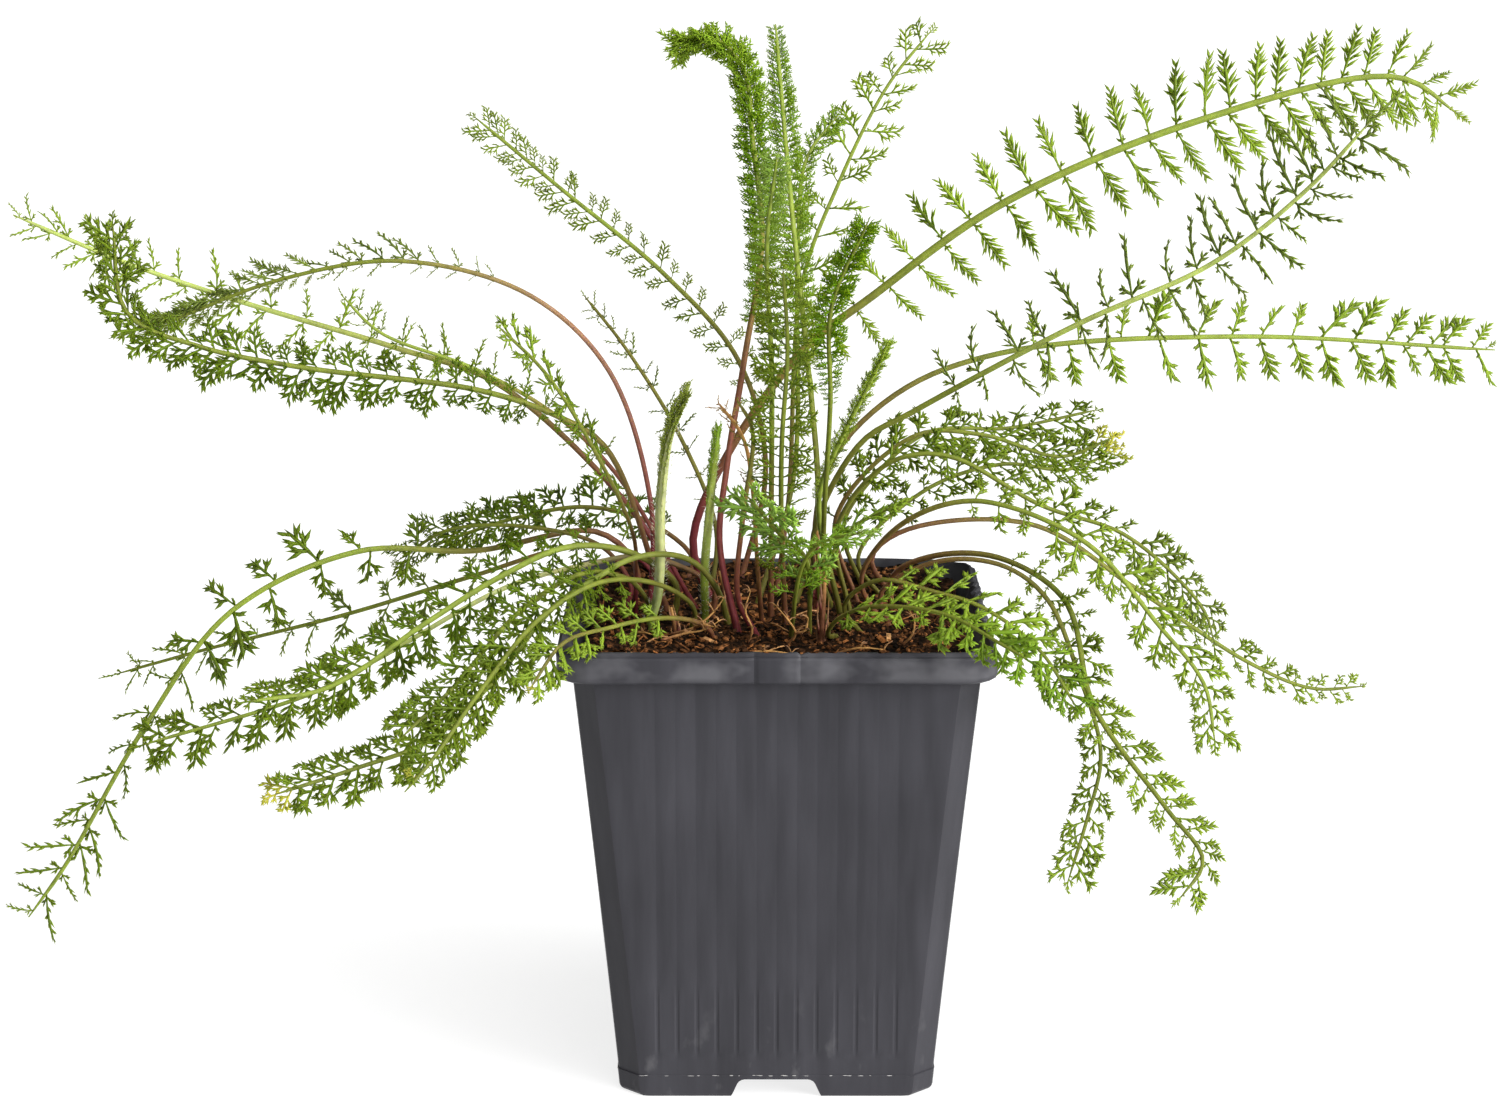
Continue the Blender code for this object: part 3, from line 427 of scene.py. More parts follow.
def smooth(thing, angle=None):
    take(thing)
    if angle is None:
        bpy.ops.object.shade_smooth()
    else:
        bpy.ops.object.shade_smooth_by_angle(angle=math.radians(angle))


def paint(thing, colours):
    """Store the tint of each point, or one for all, in linear light."""
    full = np.ones((len(thing.data.vertices), 4), np.float32)
    full[:, :3] = colours
    layer = thing.data.attributes.new("tint", "FLOAT_COLOR", "POINT")
    layer.data.foreach_set("color", full.ravel())


def grade(thing, values):
    """Store how far along its leaflet or stalk each point is, from 0 to 1."""
    full = np.full(len(thing.data.vertices), values, np.float32)
    layer = thing.data.attributes.new("reach", "FLOAT", "POINT")
    layer.data.foreach_set("value", full)


def linear(colour):
    """A colour in linear light, given by its name or as sRGB bytes."""
    part = np.array(COLOURS.get(colour, colour), float) / 255.0
    return np.where(part <= 0.04045, part / 12.92, ((part + 0.055) / 1.055) ** 2.4)


def shade_along(share, places, names):
    """Colours at shares of a length, blended from the named ones at their places."""
    stops = np.array([linear(name) for name in names])
    return np.column_stack([np.interp(share, places, stops[:, k]) for k in range(3)])


def turned(degrees, axis):
    return Matrix.Rotation(math.radians(degrees), 4, axis)


def moved(x, y, z):
    return Matrix.Translation((x, y, z))


# ---- routes of the stalks --------------------------------------------------------------
DENSE_STEPS = 16
PUSH_SHARE = 0.3


def smooth_route(points):
    """A centripetal Catmull-Rom curve through the route, sampled at an even step."""
    pts = [np.array(p, float) for p in points]
    pts = [2 * pts[0] - pts[1]] + pts + [2 * pts[-1] - pts[-2]]
    dense = []
    for a, b, c, d in zip(pts, pts[1:], pts[2:], pts[3:]):
        t0 = 0.0
        t1 = t0 + np.linalg.norm(b - a) ** 0.5
        t2 = t1 + np.linalg.norm(c - b) ** 0.5
        t3 = t2 + np.linalg.norm(d - c) ** 0.5
        for t in np.linspace(t1, t2, DENSE_STEPS, endpoint=False):
            ab = (t1 - t) / (t1 - t0) * a + (t - t0) / (t1 - t0) * b
            bc = (t2 - t) / (t2 - t1) * b + (t - t1) / (t2 - t1) * c
            cd = (t3 - t) / (t3 - t2) * c + (t - t2) / (t3 - t2) * d
            abc = (t2 - t) / (t2 - t0) * ab + (t - t0) / (t2 - t0) * bc
            bcd = (t3 - t) / (t3 - t1) * bc + (t - t1) / (t3 - t1) * cd
            dense.append((t2 - t) / (t2 - t1) * abc + (t - t1) / (t2 - t1) * bcd)
    dense.append(pts[-2])
    dense = np.array(dense)
    along = np.r_[0.0, np.cumsum(np.linalg.norm(np.diff(dense, axis=0), axis=1))]
    count = max(8, int(round(along[-1] / SAMPLE_STEP)))
    even = np.linspace(0.0, along[-1], count + 1)
    return np.column_stack([np.interp(even, along, dense[:, k]) for k in range(3)])


def push_apart(one, other, need):
    """Shifts for the samples of two routes that run closer than they need."""
    shifts = [np.zeros_like(one), np.zeros_like(other)]
    away = one[:, None, :] - other[None, :, :]
    apart = np.linalg.norm(away, axis=2)
    for a, b in np.argwhere(apart < need):
        push = away[a, b] / max(apart[a, b], 1e-6) * (need - apart[a, b]) * PUSH_SHARE
        for shift, at, sign in ((shifts[0], a, 1.0), (shifts[1], b, -1.0)):
            bell = np.exp(-((np.arange(len(shift)) - at) / BEND_SPREAD) ** 2)
            step = sign * bell[:, None] * push
            larger = np.abs(step) > np.abs(shift)
            shift[larger] = step[larger]
    return shifts


def spread_routes(routes, radii, movable):
    """Bend stalks clear of each other where they cross; their feet and the stubs stay."""
    for _ in range(BEND_ROUNDS):
        moves = [np.zeros_like(route) for route in routes]
        for i in range(movable):
            for j in range(i + 1, len(routes)):
                need = radii[i] + radii[j] + STALK_CLEARANCE
                apart = np.maximum(routes[i].min(0) - routes[j].max(0),
                                   routes[j].min(0) - routes[i].max(0))
                if apart.max() < need:
                    shift_i, shift_j = push_apart(routes[i], routes[j], need)
                    moves[i] += shift_i
                    moves[j] += shift_j
        for k in range(movable):
            rise = np.clip((np.arange(len(routes[k])) - 0.5) / 2.0, 0.0, 1.0)
            routes[k] = routes[k] + moves[k] * rise[:, None]
    return routes


def path_of(route, roll=0.0):
    """A route with the tangent, blade side and blade normal at each of its samples."""
    tangent = np.gradient(route, axis=0)
    tangent /= np.linalg.norm(tangent, axis=1)[:, None]
    heading = route[-1, :2] - route[0, :2]
    heading /= max(np.linalg.norm(heading), 1e-6)
    flat = np.array([-heading[1], heading[0], 0.0])
    side = flat - tangent * (tangent @ flat)[:, None]
    side /= np.linalg.norm(side, axis=1)[:, None]
    normal = np.cross(tangent, side)
    turn = math.radians(roll)
    rolled = math.cos(turn) * side + math.sin(turn) * normal
    return route, tangent, rolled, np.cross(tangent, rolled)


def follow(path, share):
    """Centre, tangent, side and normal at one share of a path's length, or at many."""
    last = len(path[0]) - 1
    spot = np.asarray(share) * last
    low = np.minimum(spot.astype(int), last - 1)
    mix = (spot - low)[..., None]
    return [part[low] * (1.0 - mix) + part[low + 1] * mix for part in path]


# ---- leaflets --------------------------------------------------------------------------
LOBE_SHOULDER = 0.42
LOBE_ROOT = 0.60
LOBE_THICKNESS = 0.45
KIT_SIZE = 6


def model_lobe():
    """A narrow pointed lobe, 1 long and 1 wide, growing up +Z with its ridge to +Y."""
    lobe = spike(0.5 / math.sin(math.radians(60)), 1.0 - LOBE_SHOULDER,
                 0.5 * (1.0 + LOBE_SHOULDER))
    begin_edit(lobe)
    pick_underside()
    extrude((0, 0, -LOBE_SHOULDER))
    resize(LOBE_ROOT, LOBE_ROOT, 1.0)
    end_edit()
    smooth(lobe)
    return rename(lobe, "lobe")


def model_axis(width):
    """A leaflet's own thin axis, winged a little towards the tip, 1 long up +Z."""
    axis = spike(width * 0.5, 0.20, 0.90)
    begin_edit(axis)
    pick_underside()
    for drop, swell in ((-0.25, 1.25), (-0.25, 0.95), (-0.16, 0.65), (-0.14, 1.3)):
        extrude((0, 0, drop))
        resize(swell, swell, 1.0)
    end_edit()
    smooth(axis)
    return axis


def lobe_at(rng, at, lean, around, length, width, forks=()):
    """One lobe and its forks as matrices: height on the axis, lean to +X, turn about Z.
    A fork is its start and its turn: (share of the lobe's length, degrees)."""
    thickness = width * LOBE_THICKNESS
    root = moved(0, 0, at) @ turned(around, "Z") @ turned(lean, "Y")
    made = [root @ Matrix.Diagonal((width, thickness, length, 1.0))]
    for start, turn in forks:
        reach = length * (1.05 - start) * rng.uniform(0.8, 1.05)
        place = root @ moved(0, 0, length * start) @ turned(turn + rng.uniform(-6, 6), "Y")
        place = place @ turned(rng.uniform(-20, 20), "X")
        made.append(place @ Matrix.Diagonal((width * 0.9, thickness, reach, 1.0)))
    return made


def side_lobes(rng, signs, places, leans, around, length, width, forks):
    """Lobes up an axis, a sign for the side of each. Places are the first one, the pitch
    and how much it varies; leans are the least, the most and how much they drop by height."""
    made = []
    for step, sign in enumerate(signs):
        at = places[0] + places[1] * step + rng.uniform(-places[2], places[2])
        made += lobe_at(rng, at, sign * (rng.uniform(*leans[:2]) - leans[2] * at),
                        rng.uniform(-around, around), length(at), width,
                        [(start, turn * sign) for start, turn in forks(step)])
    return made


def feather_lobes(rng):
    """Pointed lobes swept forwards on both sides, longest below the middle."""
    made = []
    for sign, full, first in ((1, 0.34, 0.20), (-1, 0.28, 0.25)):
        made += side_lobes(
            rng, (sign,) * 7, (first, 0.11, 0.02), (32, 42, 10), 28,
            lambda at: full * (0.62 + 0.38 * math.sin(math.pi * min(1.0, 1.35 * at))),
            0.056, lambda step: ((0.40, 24),) if step in (1, 3) else ())
    made += lobe_at(rng, 0.04, rng.uniform(40, 60), rng.uniform(-60, 60), 0.17, 0.050,
                    ((0.35, 40), (0.5, -30)))
    made += lobe_at(rng, 0.05, -rng.uniform(40, 60), rng.uniform(-60, 60), 0.13, 0.050)
    return made


def broad_lobes(rng):
    """Alternate side branches, each ending in a few broad fingers."""
    made = side_lobes(rng, (1, -1) * 3, (0.17, 0.125, 0.025), (40, 54, 18), 32,
                      lambda at: 0.52 - 0.30 * at, 0.092,
                      lambda step: ((0.28, 28), (0.42, -29), (0.60, 22))[:3 - step // 2])
    return made + lobe_at(rng, 0.02, rng.uniform(30, 60), rng.uniform(0, 360), 0.26, 0.080,
                          ((0.35, 38), (0.45, -36)))


def palm_lobes(rng, wide=0.108):
    """A small open hand: broad pointed fingers spreading from a bare foot."""
    made = side_lobes(rng, (1, -1, 1, -1, 1), (0.26, 0.125, 0.03), (44, 58, 22), 40,
                      lambda at: 0.55 - 0.28 * at, wide,
                      lambda step: ((0.26, 29), (0.40, -29))[:2 if step < 3 else 1])
    return made + lobe_at(rng, 0.03, rng.uniform(-60, 60), rng.uniform(0, 360), 0.24, 0.090,
                          ((0.38, 36),))


def maple_lobes(rng):
    """The open hand with broader fingers."""
    return palm_lobes(rng, 0.126)


def fan_lobes(rng):
    """Bare at the root, then broad pointed lobes swept forwards like a small feather."""
    made = side_lobes(rng, (1, -1) * 3 + (1,), (0.30, 0.085, 0.02), (36, 46, 16), 30,
                      lambda at: 0.36 - 0.10 * abs(at - 0.45) - 0.16 * max(0.0, at - 0.55),
                      0.098, lambda step: ((0.42, 28),) if step < 4 else ())
    for sign in (1, -1):
        made += lobe_at(rng, 0.08, sign * rng.uniform(36, 56), rng.uniform(-60, 60), 0.20,
                        0.070, ((0.4, 34 * sign),))
    return made


def lacy_lobes(rng):
    """Slender side branches towards the end, each with three fine fingers."""
    made = side_lobes(
        rng, (1, -1) * 3 + (1,), (0.24, 0.095, 0.025), (42, 54, 18), 30,
        lambda at: 0.48 - 0.22 * at, 0.066,
        lambda step: ((0.30, 27), (0.46, -28)) if step < 5 else ((0.4, 26),))
    return made + lobe_at(rng, 0.05, rng.uniform(-50, 50), rng.uniform(0, 360), 0.20, 0.060,
                          ((0.4, 36), (0.5, -34)))


def sparse_lobes(rng):
    """A thin thread with short teeth held close to it and a forked tuft at its root."""
    made = side_lobes(rng, (-1, 1) * 3 + (-1,), (0.26, 0.10, 0.03), (20, 34, 0), 40,
                      lambda at: rng.uniform(0.16, 0.32) - 0.10 * at, 0.052,
                      lambda step: ((0.4, 26),) if step in (1, 4) else ())
    for sign in (1, -1):
        made += lobe_at(rng, 0.05, sign * rng.uniform(25, 60), rng.uniform(-60, 60),
                        rng.uniform(0.22, 0.32), 0.062,
                        ((0.35, 36 * sign), (0.5, -30 * sign), (0.7, 24 * sign)))
    return made


def plume_lobes(rng):
    """A short twig of pointed lobes spread all round its axis."""
    made = []
    for step in range(9):
        at = 0.12 + 0.09 * step + rng.uniform(-0.02, 0.02)
        around = 180 * (step % 2) + rng.uniform(-50, 50)
        made += lobe_at(rng, at, rng.uniform(34, 50) - 8 * at, around,
                        0.40 - 0.14 * at, 0.085, ((0.4, 30),) if step in (1, 4) else ())
    return made


# Each kit: its lobes and the width of a leaflet's own axis.
LEAFLET_KITS = {
    "feather": (feather_lobes, 0.056), "broad": (broad_lobes, 0.070),
    "fan": (fan_lobes, 0.070), "lacy": (lacy_lobes, 0.058),
    "sparse": (sparse_lobes, 0.052), "plume": (plume_lobes, 0.085),
    "palm": (palm_lobes, 0.080), "maple": (maple_lobes, 0.120)}


def model_leaflets():
    """Leaflets of every kit, each 1 long up +Z, front to +X and upper face to +Y."""
    lobe = model_lobe()
    kits = {}
    for index, (kit, (lobes, width)) in enumerate(LEAFLET_KITS.items()):
        kits[kit] = []
        for variant in range(KIT_SIZE):
            rng = random.Random(100 * index + variant)
            parts = [copy_of(lobe, matrix) for matrix in lobes(rng)]
            leaflet = join(parts + [model_axis(width)], "%s_%d" % (kit, variant + 1))
            shape = points_of(leaflet)
            grade(leaflet, np.clip(shape[:, 2], 0.0, 1.0))
            kits[kit].append((leaflet, shape))
    discard(lobe)
    return kits


def model_stalk():
    """A straight stalk up +Z, 1 high and 1 in radius."""
    bpy.ops.mesh.primitive_circle_add(vertices=STALK_SIDES, radius=1.0, fill_type="NGON")
    stalk = settle()
    begin_edit(stalk)
    for step in range(STALK_STEPS):
        pick("faces", lambda face: face.calc_center_median().z > (step - 0.25) / STALK_STEPS)
        extrude((0, 0, 1.0 / STALK_STEPS))
    end_edit_faced()
    smooth(stalk)
    return rename(stalk, "stalk")


# ---- leaves ----------------------------------------------------------------------------
STALK_SIDES = 8
STALK_STEPS = 64
STALK_ROOT = 7.0
LAST_STATION = 0.985
TIP_STATION = 0.99
HANG = 0.12
FIT_TRIALS = 5
FIT_RAISE = 0.35
FIT_SHRINK = 0.85
PAIR = (-1.0, 1.0)
SLANTED = 0.6
# How far leaflets stray from their stations and turns, by kit; 1 for all others.
UNRULY = {"plume": 0.4, "feather": 0.45}
# Where along the blade the tip's colour sets in, and where it is full.
TIP_FROM = 0.5
YELLOW_FROM = 0.94
TIP_FULL = 0.97


def stalk_taper(share):
    """Thickness along the stalk as a share of that at its foot."""
    return 0.86 + 0.24 * share - 0.52 * share ** 2


def lay_stalk(template, name, path, radius, tints):
    """Lay a copy of the straight stalk along a leaf's route, channelled and tapered."""
    stalk = rename(copy_of(template), name)
    straight = points_of(stalk)
    span = SAMPLE_STEP * (len(path[0]) - 1)
    root = STALK_ROOT / span
    share = np.clip(straight[:, 2] * (1.0 + root) - root, 0.0, 1.0)
    under = np.clip(root - straight[:, 2] * (1.0 + root), 0.0, 1.0) * span
    centre, _, side, normal = follow(path, share)
    thick = radius * stalk_taper(share) * np.clip((1.02 - share) / 0.06, 0.3, 1.0)
    thick = thick * (1.0 + 0.35 * np.exp(-share * span / 6.0))
    channel = np.where(straight[:, 1] > 0.9, 0.62, 1.0)
    points = centre + side * (straight[:, 0] * thick)[:, None]
    points += normal * (straight[:, 1] * thick * channel)[:, None]
    points[:, 2] -= under
    move_points(stalk, points * MM)
    # Alternate sides paler and darker: partly striation, partly painted ridge highlight and furrow
    # shade.
    turn = np.rint(np.arctan2(straight[:, 1], straight[:, 0]) * STALK_SIDES / math.tau)
    striation_and_highlight = np.where(turn % 2 == 0, 1.14, 0.88)
    paint(stalk, shade_along(share, (0.08, 0.40, 0.70), tints) * striation_and_highlight[:, None])
    grade(stalk, share)
    return stalk


def leaflet_stations(bare, pairs):
    """Shares of the stalk where leaflet pairs stand, closer together towards the tip."""
    places = (np.arange(pairs) + 0.4) / pairs
    places = places + 0.10 * np.sin(math.pi * places)
    return bare + (LAST_STATION - bare) * np.clip(places, 0.0, 1.0)


def clear_of_pot(point, margin=0.2):
    """Whether a point is above the rim, outside the pot, or over the soil inside it."""
    reach = max(abs(point[0]), abs(point[1]))
    if point[2] > POT_HEIGHT + margin:
        return True
    if reach > RIM_HALF + margin:
        return point[2] > margin
    inside = reach < INSIDE_WALL - margin
    return inside and point[2] > soil_height(point[0], point[1]) + margin


def soil_height(x, y):
    """The soil's top: level round the crown, uneven towards the wall."""
    reach = max(abs(x), abs(y)) / SOIL_HALF
    rough = 0.7 * math.sin(0.31 * x + 1.3) * math.sin(0.27 * y + 0.4)
    rough += 0.5 * math.sin(0.53 * x - 0.37 * y)
    hollow_left = -3.5 * math.exp(-((x + 33) ** 2 + (y - 18) ** 2) / 60.0)
    hollow_back = -3.0 * math.exp(-((x - 34) ** 2 + (y - 33) ** 2) / 50.0)
    edge = min(1.0, max(0.0, (reach - 0.55) / 0.3))
    heap = 1.3 + 3.7 * math.exp(-((y - 38.0) / 15.0) ** 2)
    return SOIL_TOP + heap + edge * (rough - 0.4) + hollow_back + edge * hollow_left


def bent(points, forward, upward):
    """Curl a leaflet's points: forward in its own plane and upward out of it."""
    out = points.copy()
    z = points[:, 2]
    for axis, turn in ((0, forward), (1, upward)):
        out[:, axis] += 0.5 * turn * z * z
    out[:, 2] -= 0.16 * (forward ** 2 + upward ** 2) * z ** 3
    return out


def place_leaflet(shape, root, direction, ahead, length, curl):
    """Points of a leaflet in millimetres, its front turned ahead along the stalk."""
    ahead = ahead - direction * (ahead @ direction)
    ahead /= np.linalg.norm(ahead)
    above = np.cross(direction, ahead)
    local = bent(shape, *curl) * length
    return root + local[:, :1] * ahead + local[:, 1:2] * above + local[:, 2:] * direction


def inside_box(points):
    """Whether all points keep inside the box of the frame."""
    return bool((points > BOX_LOW + 0.05).all() and (points < BOX_HIGH - 0.05).all())


def fitted_leaflet(shape, root, direction, ahead, length, curl):
    """A leaflet's points, raised and shortened until it is clear of pot, soil and box."""
    for _ in range(FIT_TRIALS):
        points = place_leaflet(shape, root, direction, ahead, length, curl)
        if inside_box(points) and all(clear_of_pot(end) for end in points[::5]):
            return points
        direction = direction + np.array((0.0, 0.0, FIT_RAISE))
        direction /= np.linalg.norm(direction)
        length *= FIT_SHRINK
    return None


def grow(leaflet, points, tint):
    """A copy of a leaflet, laid on its points in millimetres."""
    twin = copy_of(leaflet)
    move_points(twin, points * MM)
    paint(twin, tint)
    return twin


def dress_leaf(leaf, path, kits, template, rng):
    """One leaf: its stalk with a leaflet pair at every station, and one at its tip."""
    style = DRESSES[leaf.name]
    radius = leaf.thick * 0.5
    parts = [lay_stalk(template, leaf.name + "_stalk", path, radius, style.stalk)]
    colour, tip_colour = linear(style.colour), linear(style.tip)
    tip_from = YELLOW_FROM if style.tip == "yellow" else TIP_FROM
    hands = PAIR + (-SLANTED, SLANTED) if style.kits[0] == "plume" else PAIR
    unruly = UNRULY.get(style.kits[0], 1.0)
    stations = leaflet_stations(leaf.bare, int(round(leaf.pairs * style.crowd)))
    for station in (*stations, TIP_STATION):
        share = (station - leaf.bare) / (1.0 - leaf.bare)
        kit = style.kits[0] if share < 0.5 else style.kits[-1]
        foot, middle, end = style.profile
        swell = np.interp(share, (0.0, 0.30, 0.72, 1.0), (foot, middle, middle, end))
        here = hands
        if station == TIP_STATION:
            here = (0.0,) + (hands if kit == "plume" else ())
        for hand in here:
            wander = rng.uniform(-0.2, 0.2) / len(stations) * (1 - leaf.bare) * unruly
            at = min(TIP_STATION, station + wander)
            centre, tangent, side, normal = follow(path, at)
            tangent = tangent / np.linalg.norm(tangent)
            upper = (side * hand)[2] > 0
            first = style.turns[0] if upper else style.turns[1]
            lean = math.radians(first + (style.turns[2] - first) * share ** 1.5
                                + rng.uniform(-10, 10) * unruly)
            lift = rng.uniform(-0.6, 1.0) * (leaf.lift if unruly > 0.4 else 0.25)
            if abs(hand) == SLANTED:
                lift = rng.choice((-1.0, 1.0)) * rng.uniform(0.2, 1.0)
            direction = tangent * math.cos(lean) + side * hand * math.sin(lean)
            direction = direction + normal * lift - np.array((0.0, 0.0, HANG * unruly))
            if hand == 0.0:
                direction = tangent
            direction /= np.linalg.norm(direction)
            length = leaf.size * swell * (1.0 - unruly * rng.uniform(-0.14, 0.26))
            length *= style.above if upper else style.below
            length *= 1.0 if hand or kit == "sparse" else 0.65
            limp = 2.6 if kit == "sparse" else 1.0
            curl = (rng.uniform(-0.15, 0.30) * limp, rng.uniform(-0.28, 0.28) * limp)
            root = centre + side * hand * radius * stalk_taper(at) * 0.7
            spin = Matrix.Rotation(rng.uniform(-0.7, 0.7), 3, Vector(direction))
            ahead = np.array(spin @ Vector(tangent if hand else side))
            leaflet, shape = rng.choice(kits[kit])
            points = fitted_leaflet(shape, root, direction, ahead, length, curl)
            tone = rng.uniform(-1.0, 1.0)
            if points is None:
                continue
            mix = min(1.0, max(0.0, (share - tip_from) / (TIP_FULL - tip_from)))
            if style.tip == "yellow":
                mix = min(1.0, mix * (1.0 + 0.5 * tone))
            tint = (colour * (1 - mix) + tip_colour * mix) * (1 + 0.18 * tone)
            parts.append(grow(leaflet, points, tint))
    return join(parts[1:] + parts[:1], leaf.name + "_fine")


# ---- finishes --------------------------------------------------------------------------
def new_material(name):
    material = bpy.data.materials.new(name)
    material.use_nodes = True
    tree = material.node_tree
    return material, tree, tree.nodes["Principled BSDF"]


def wire(node, settings):
    """Set a node up: sockets are linked to its inputs, values set on them or on it."""
    for key, value in settings.items():
        if isinstance(value, bpy.types.NodeSocket):
            node.id_data.links.new(value, node.inputs[key])
        elif key in node.inputs:
            node.inputs[key].default_value = value
        else:
            setattr(node, key, value)


def add_node(tree, kind, **settings):
    node = tree.nodes.new("ShaderNode" + kind)
    wire(node, settings)
    return node


def noise_on(tree, scale, detail, stretch=(1, 1, 1)):
    """Noise on the object's own coordinates, given in marks per metre."""
    place = add_node(tree, "TexCoord").outputs["Object"]
    mapping = add_node(tree, "Mapping", Scale=stretch, Vector=place).outputs["Vector"]
    return add_node(tree, "TexNoise", Scale=scale, Detail=detail,
                    Vector=mapping).outputs["Fac"]


def ramp_on(tree, source, *stops):
    """A colour ramp; a stop is its place and a colour, or one number for a grey."""
    ramp = add_node(tree, "ValToRGB", Fac=source)
    elements = ramp.color_ramp.elements
    while len(elements) < len(stops):
        elements.new(0.5)
    for element, (at, colour) in zip(elements, stops):
        element.position = at
        element.color = (*np.broadcast_to(colour, 3), 1.0)
    return ramp.outputs["Color"]


def range_on(tree, value, side, low, high):
    """A value mapped from 0 and 1 to low and high on the "To" side, or back on "From"."""
    limits = {side + " Min": low, side + " Max": high}
    return add_node(tree, "MapRange", Value=value, **limits).outputs["Result"]


def height_on(tree, low, high):
    """Height on the piece, from 0 at the low mark to 1 at the high one, in metres."""
    place = add_node(tree, "TexCoord").outputs["Object"]
    split = add_node(tree, "SeparateXYZ", Vector=place)
    return range_on(tree, split.outputs["Z"], "From", low, high)


def stored(tree, name, output="Color"):
    return add_node(tree, "Attribute", attribute_name=name).outputs[output]


def multiply(tree, one, other):
    mix = add_node(tree, "Mix", data_type="RGBA", blend_type="MULTIPLY", Factor=1.0)
    wire(mix, {"A": one, "B": other})
    return mix.outputs["Result"]


def blend(tree, amount, one, colour):
    """From one socket to a plain colour by the amount."""
    mix = add_node(tree, "Mix", data_type="RGBA", blend_type="MIX", Factor=amount)
    wire(mix, {"A": one, "B": (*colour, 1.0)})
    return mix.outputs["Result"]


def bump_on(tree, height, strength, distance):
    return add_node(tree, "Bump", Strength=strength, Distance=distance,
                    Height=height).outputs["Normal"]


def leaf_skin():
    """Tint by the stored colour, mottled, a little darker at the leaflets' roots."""
    material, tree, shader = new_material("leaf_skin")
    mottle = ramp_on(tree, noise_on(tree, 420.0, 3.0), (0.30, 0.75), (0.70, 1.08))
    along = ramp_on(tree, stored(tree, "reach", "Fac"), (0.0, 0.86), (0.6, 1.0), (1.0, 0.80))
    wire(shader, {
        "Base Color": multiply(tree, multiply(tree, stored(tree, "tint"), mottle), along),
        "Roughness": range_on(tree, noise_on(tree, 900.0, 2.0), "To", 0.42, 0.60),
        "Specular IOR Level": 0.15, "Subsurface Weight": 0.35,
        "Subsurface Radius": (0.7, 1.0, 0.15), "Subsurface Scale": 0.0012,
        "Normal": bump_on(tree, noise_on(tree, 5200.0, 3.0), 0.25, 0.0001)})
    return material


def pot_skin():
    """Dull dark plastic: faint upright streaks, pale scuffs near the foot, a rim paled by wear and
    painted highlight.
    """
    material, tree, shader = new_material("grey_pot_plastic")
    streaks = ramp_on(tree, noise_on(tree, 260.0, 4.0, (1.0, 1.0, 0.04)),
                      (0.28, (0.0275, 0.0268, 0.0316)), (0.72, (0.0400, 0.0391, 0.0459)))
    cloud = ramp_on(tree, noise_on(tree, 28.0, 4.0), (0.3, 0.86), (0.7, 1.10))
    scuff = ramp_on(tree, noise_on(tree, 210.0, 7.0, (1.0, 1.0, 0.5)),
                    (0.60, 0.0), (0.72, 0.55))
    low = ramp_on(tree, height_on(tree, 0.004, 0.026), (0.0, 0.9), (1.0, 0.0))
    # Paler patches round the rim band: partly rubbed wear, partly painted highlight where the rim
    # catches light.
    rubbed_and_highlit = ramp_on(tree, noise_on(tree, 75.0, 3.0, (1.0, 1.0, 1.4)),
                     (0.48, 0.0), (0.64, 0.8))
    high = ramp_on(tree, height_on(tree, 0.0925, 0.0985),
                   (0.0, 0.0), (0.25, 0.8), (0.8, 0.8), (1.0, 0.7))
    colour = blend(tree, multiply(tree, scuff, low), multiply(tree, streaks, cloud),
                   (0.105, 0.103, 0.108))
    colour = blend(tree, multiply(tree, rubbed_and_highlit, high), colour, (0.110, 0.109, 0.118))
    grain = noise_on(tree, 700.0, 5.0, (1.0, 1.0, 0.10))
    wire(shader, {
        "Base Color": colour, "Specular IOR Level": 0.16,
        "Roughness": range_on(tree, noise_on(tree, 90.0, 5.0, (1.0, 1.0, 0.3)),
                              "To", 0.40, 0.58),
        "Normal": bump_on(tree, grain, 0.10, 0.0002)})
    return material


def peat_skin():
    """Damp dark peat with rusty patches; its near-black spots are partly painted shade of hollows.
    """
    material, tree, shader = new_material("damp_peat")
    # The near-black lowest stops are partly painted shade of hollows between crumbs; the brown and
    # rusty ones are the peat's own colour.
    grain = ramp_on(tree, noise_on(tree, 620.0, 8.0),
                    (0.34, (0.003, 0.002, 0.0015)), (0.52, (0.020, 0.010, 0.005)),
                    (0.66, (0.110, 0.045, 0.018)), (0.80, (0.20, 0.095, 0.04)))
    patches = ramp_on(tree, noise_on(tree, 120.0, 3.0), (0.35, 0.45), (0.65, 1.25))
    wire(shader, {"Base Color": multiply(tree, grain, patches), "Roughness": 0.9,
                  "Specular IOR Level": 0.05,
                  "Normal": bump_on(tree, noise_on(tree, 2600.0, 5.0), 0.7, 0.0004)})
    return material


def tinted_skin(name, roughness, marks, low, high):
    """The stored colour of each bit, mottled."""
    material, tree, shader = new_material(name)
    mottle = ramp_on(tree, noise_on(tree, marks, 4.0), (0.30, low), (0.70, high))
    wire(shader, {"Base Color": multiply(tree, stored(tree, "tint"), mottle),
                  "Roughness": roughness, "Specular IOR Level": 0.1,
                  "Normal": bump_on(tree, noise_on(tree, 3.0 * marks, 3.0), 0.4, 0.0002)})
    return material


def flat_skin(name, colour, roughness, glow=0.0):
    material, _, shader = new_material(name)
    wire(shader, {"Base Color": (*colour, 1.0), "Roughness": roughness,
                  "Emission Color": (1, 1, 1, 1), "Emission Strength": glow})
    return material


def dress(piece, material, slot, *nodes):
    """Give a finished piece its material and body, and hide the nodes that it stands for. The slot
    is not used.
    """
    piece.data.materials.clear()
    piece.data.materials.append(material)
    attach(piece, "root")
    if nodes:
        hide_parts(*nodes)


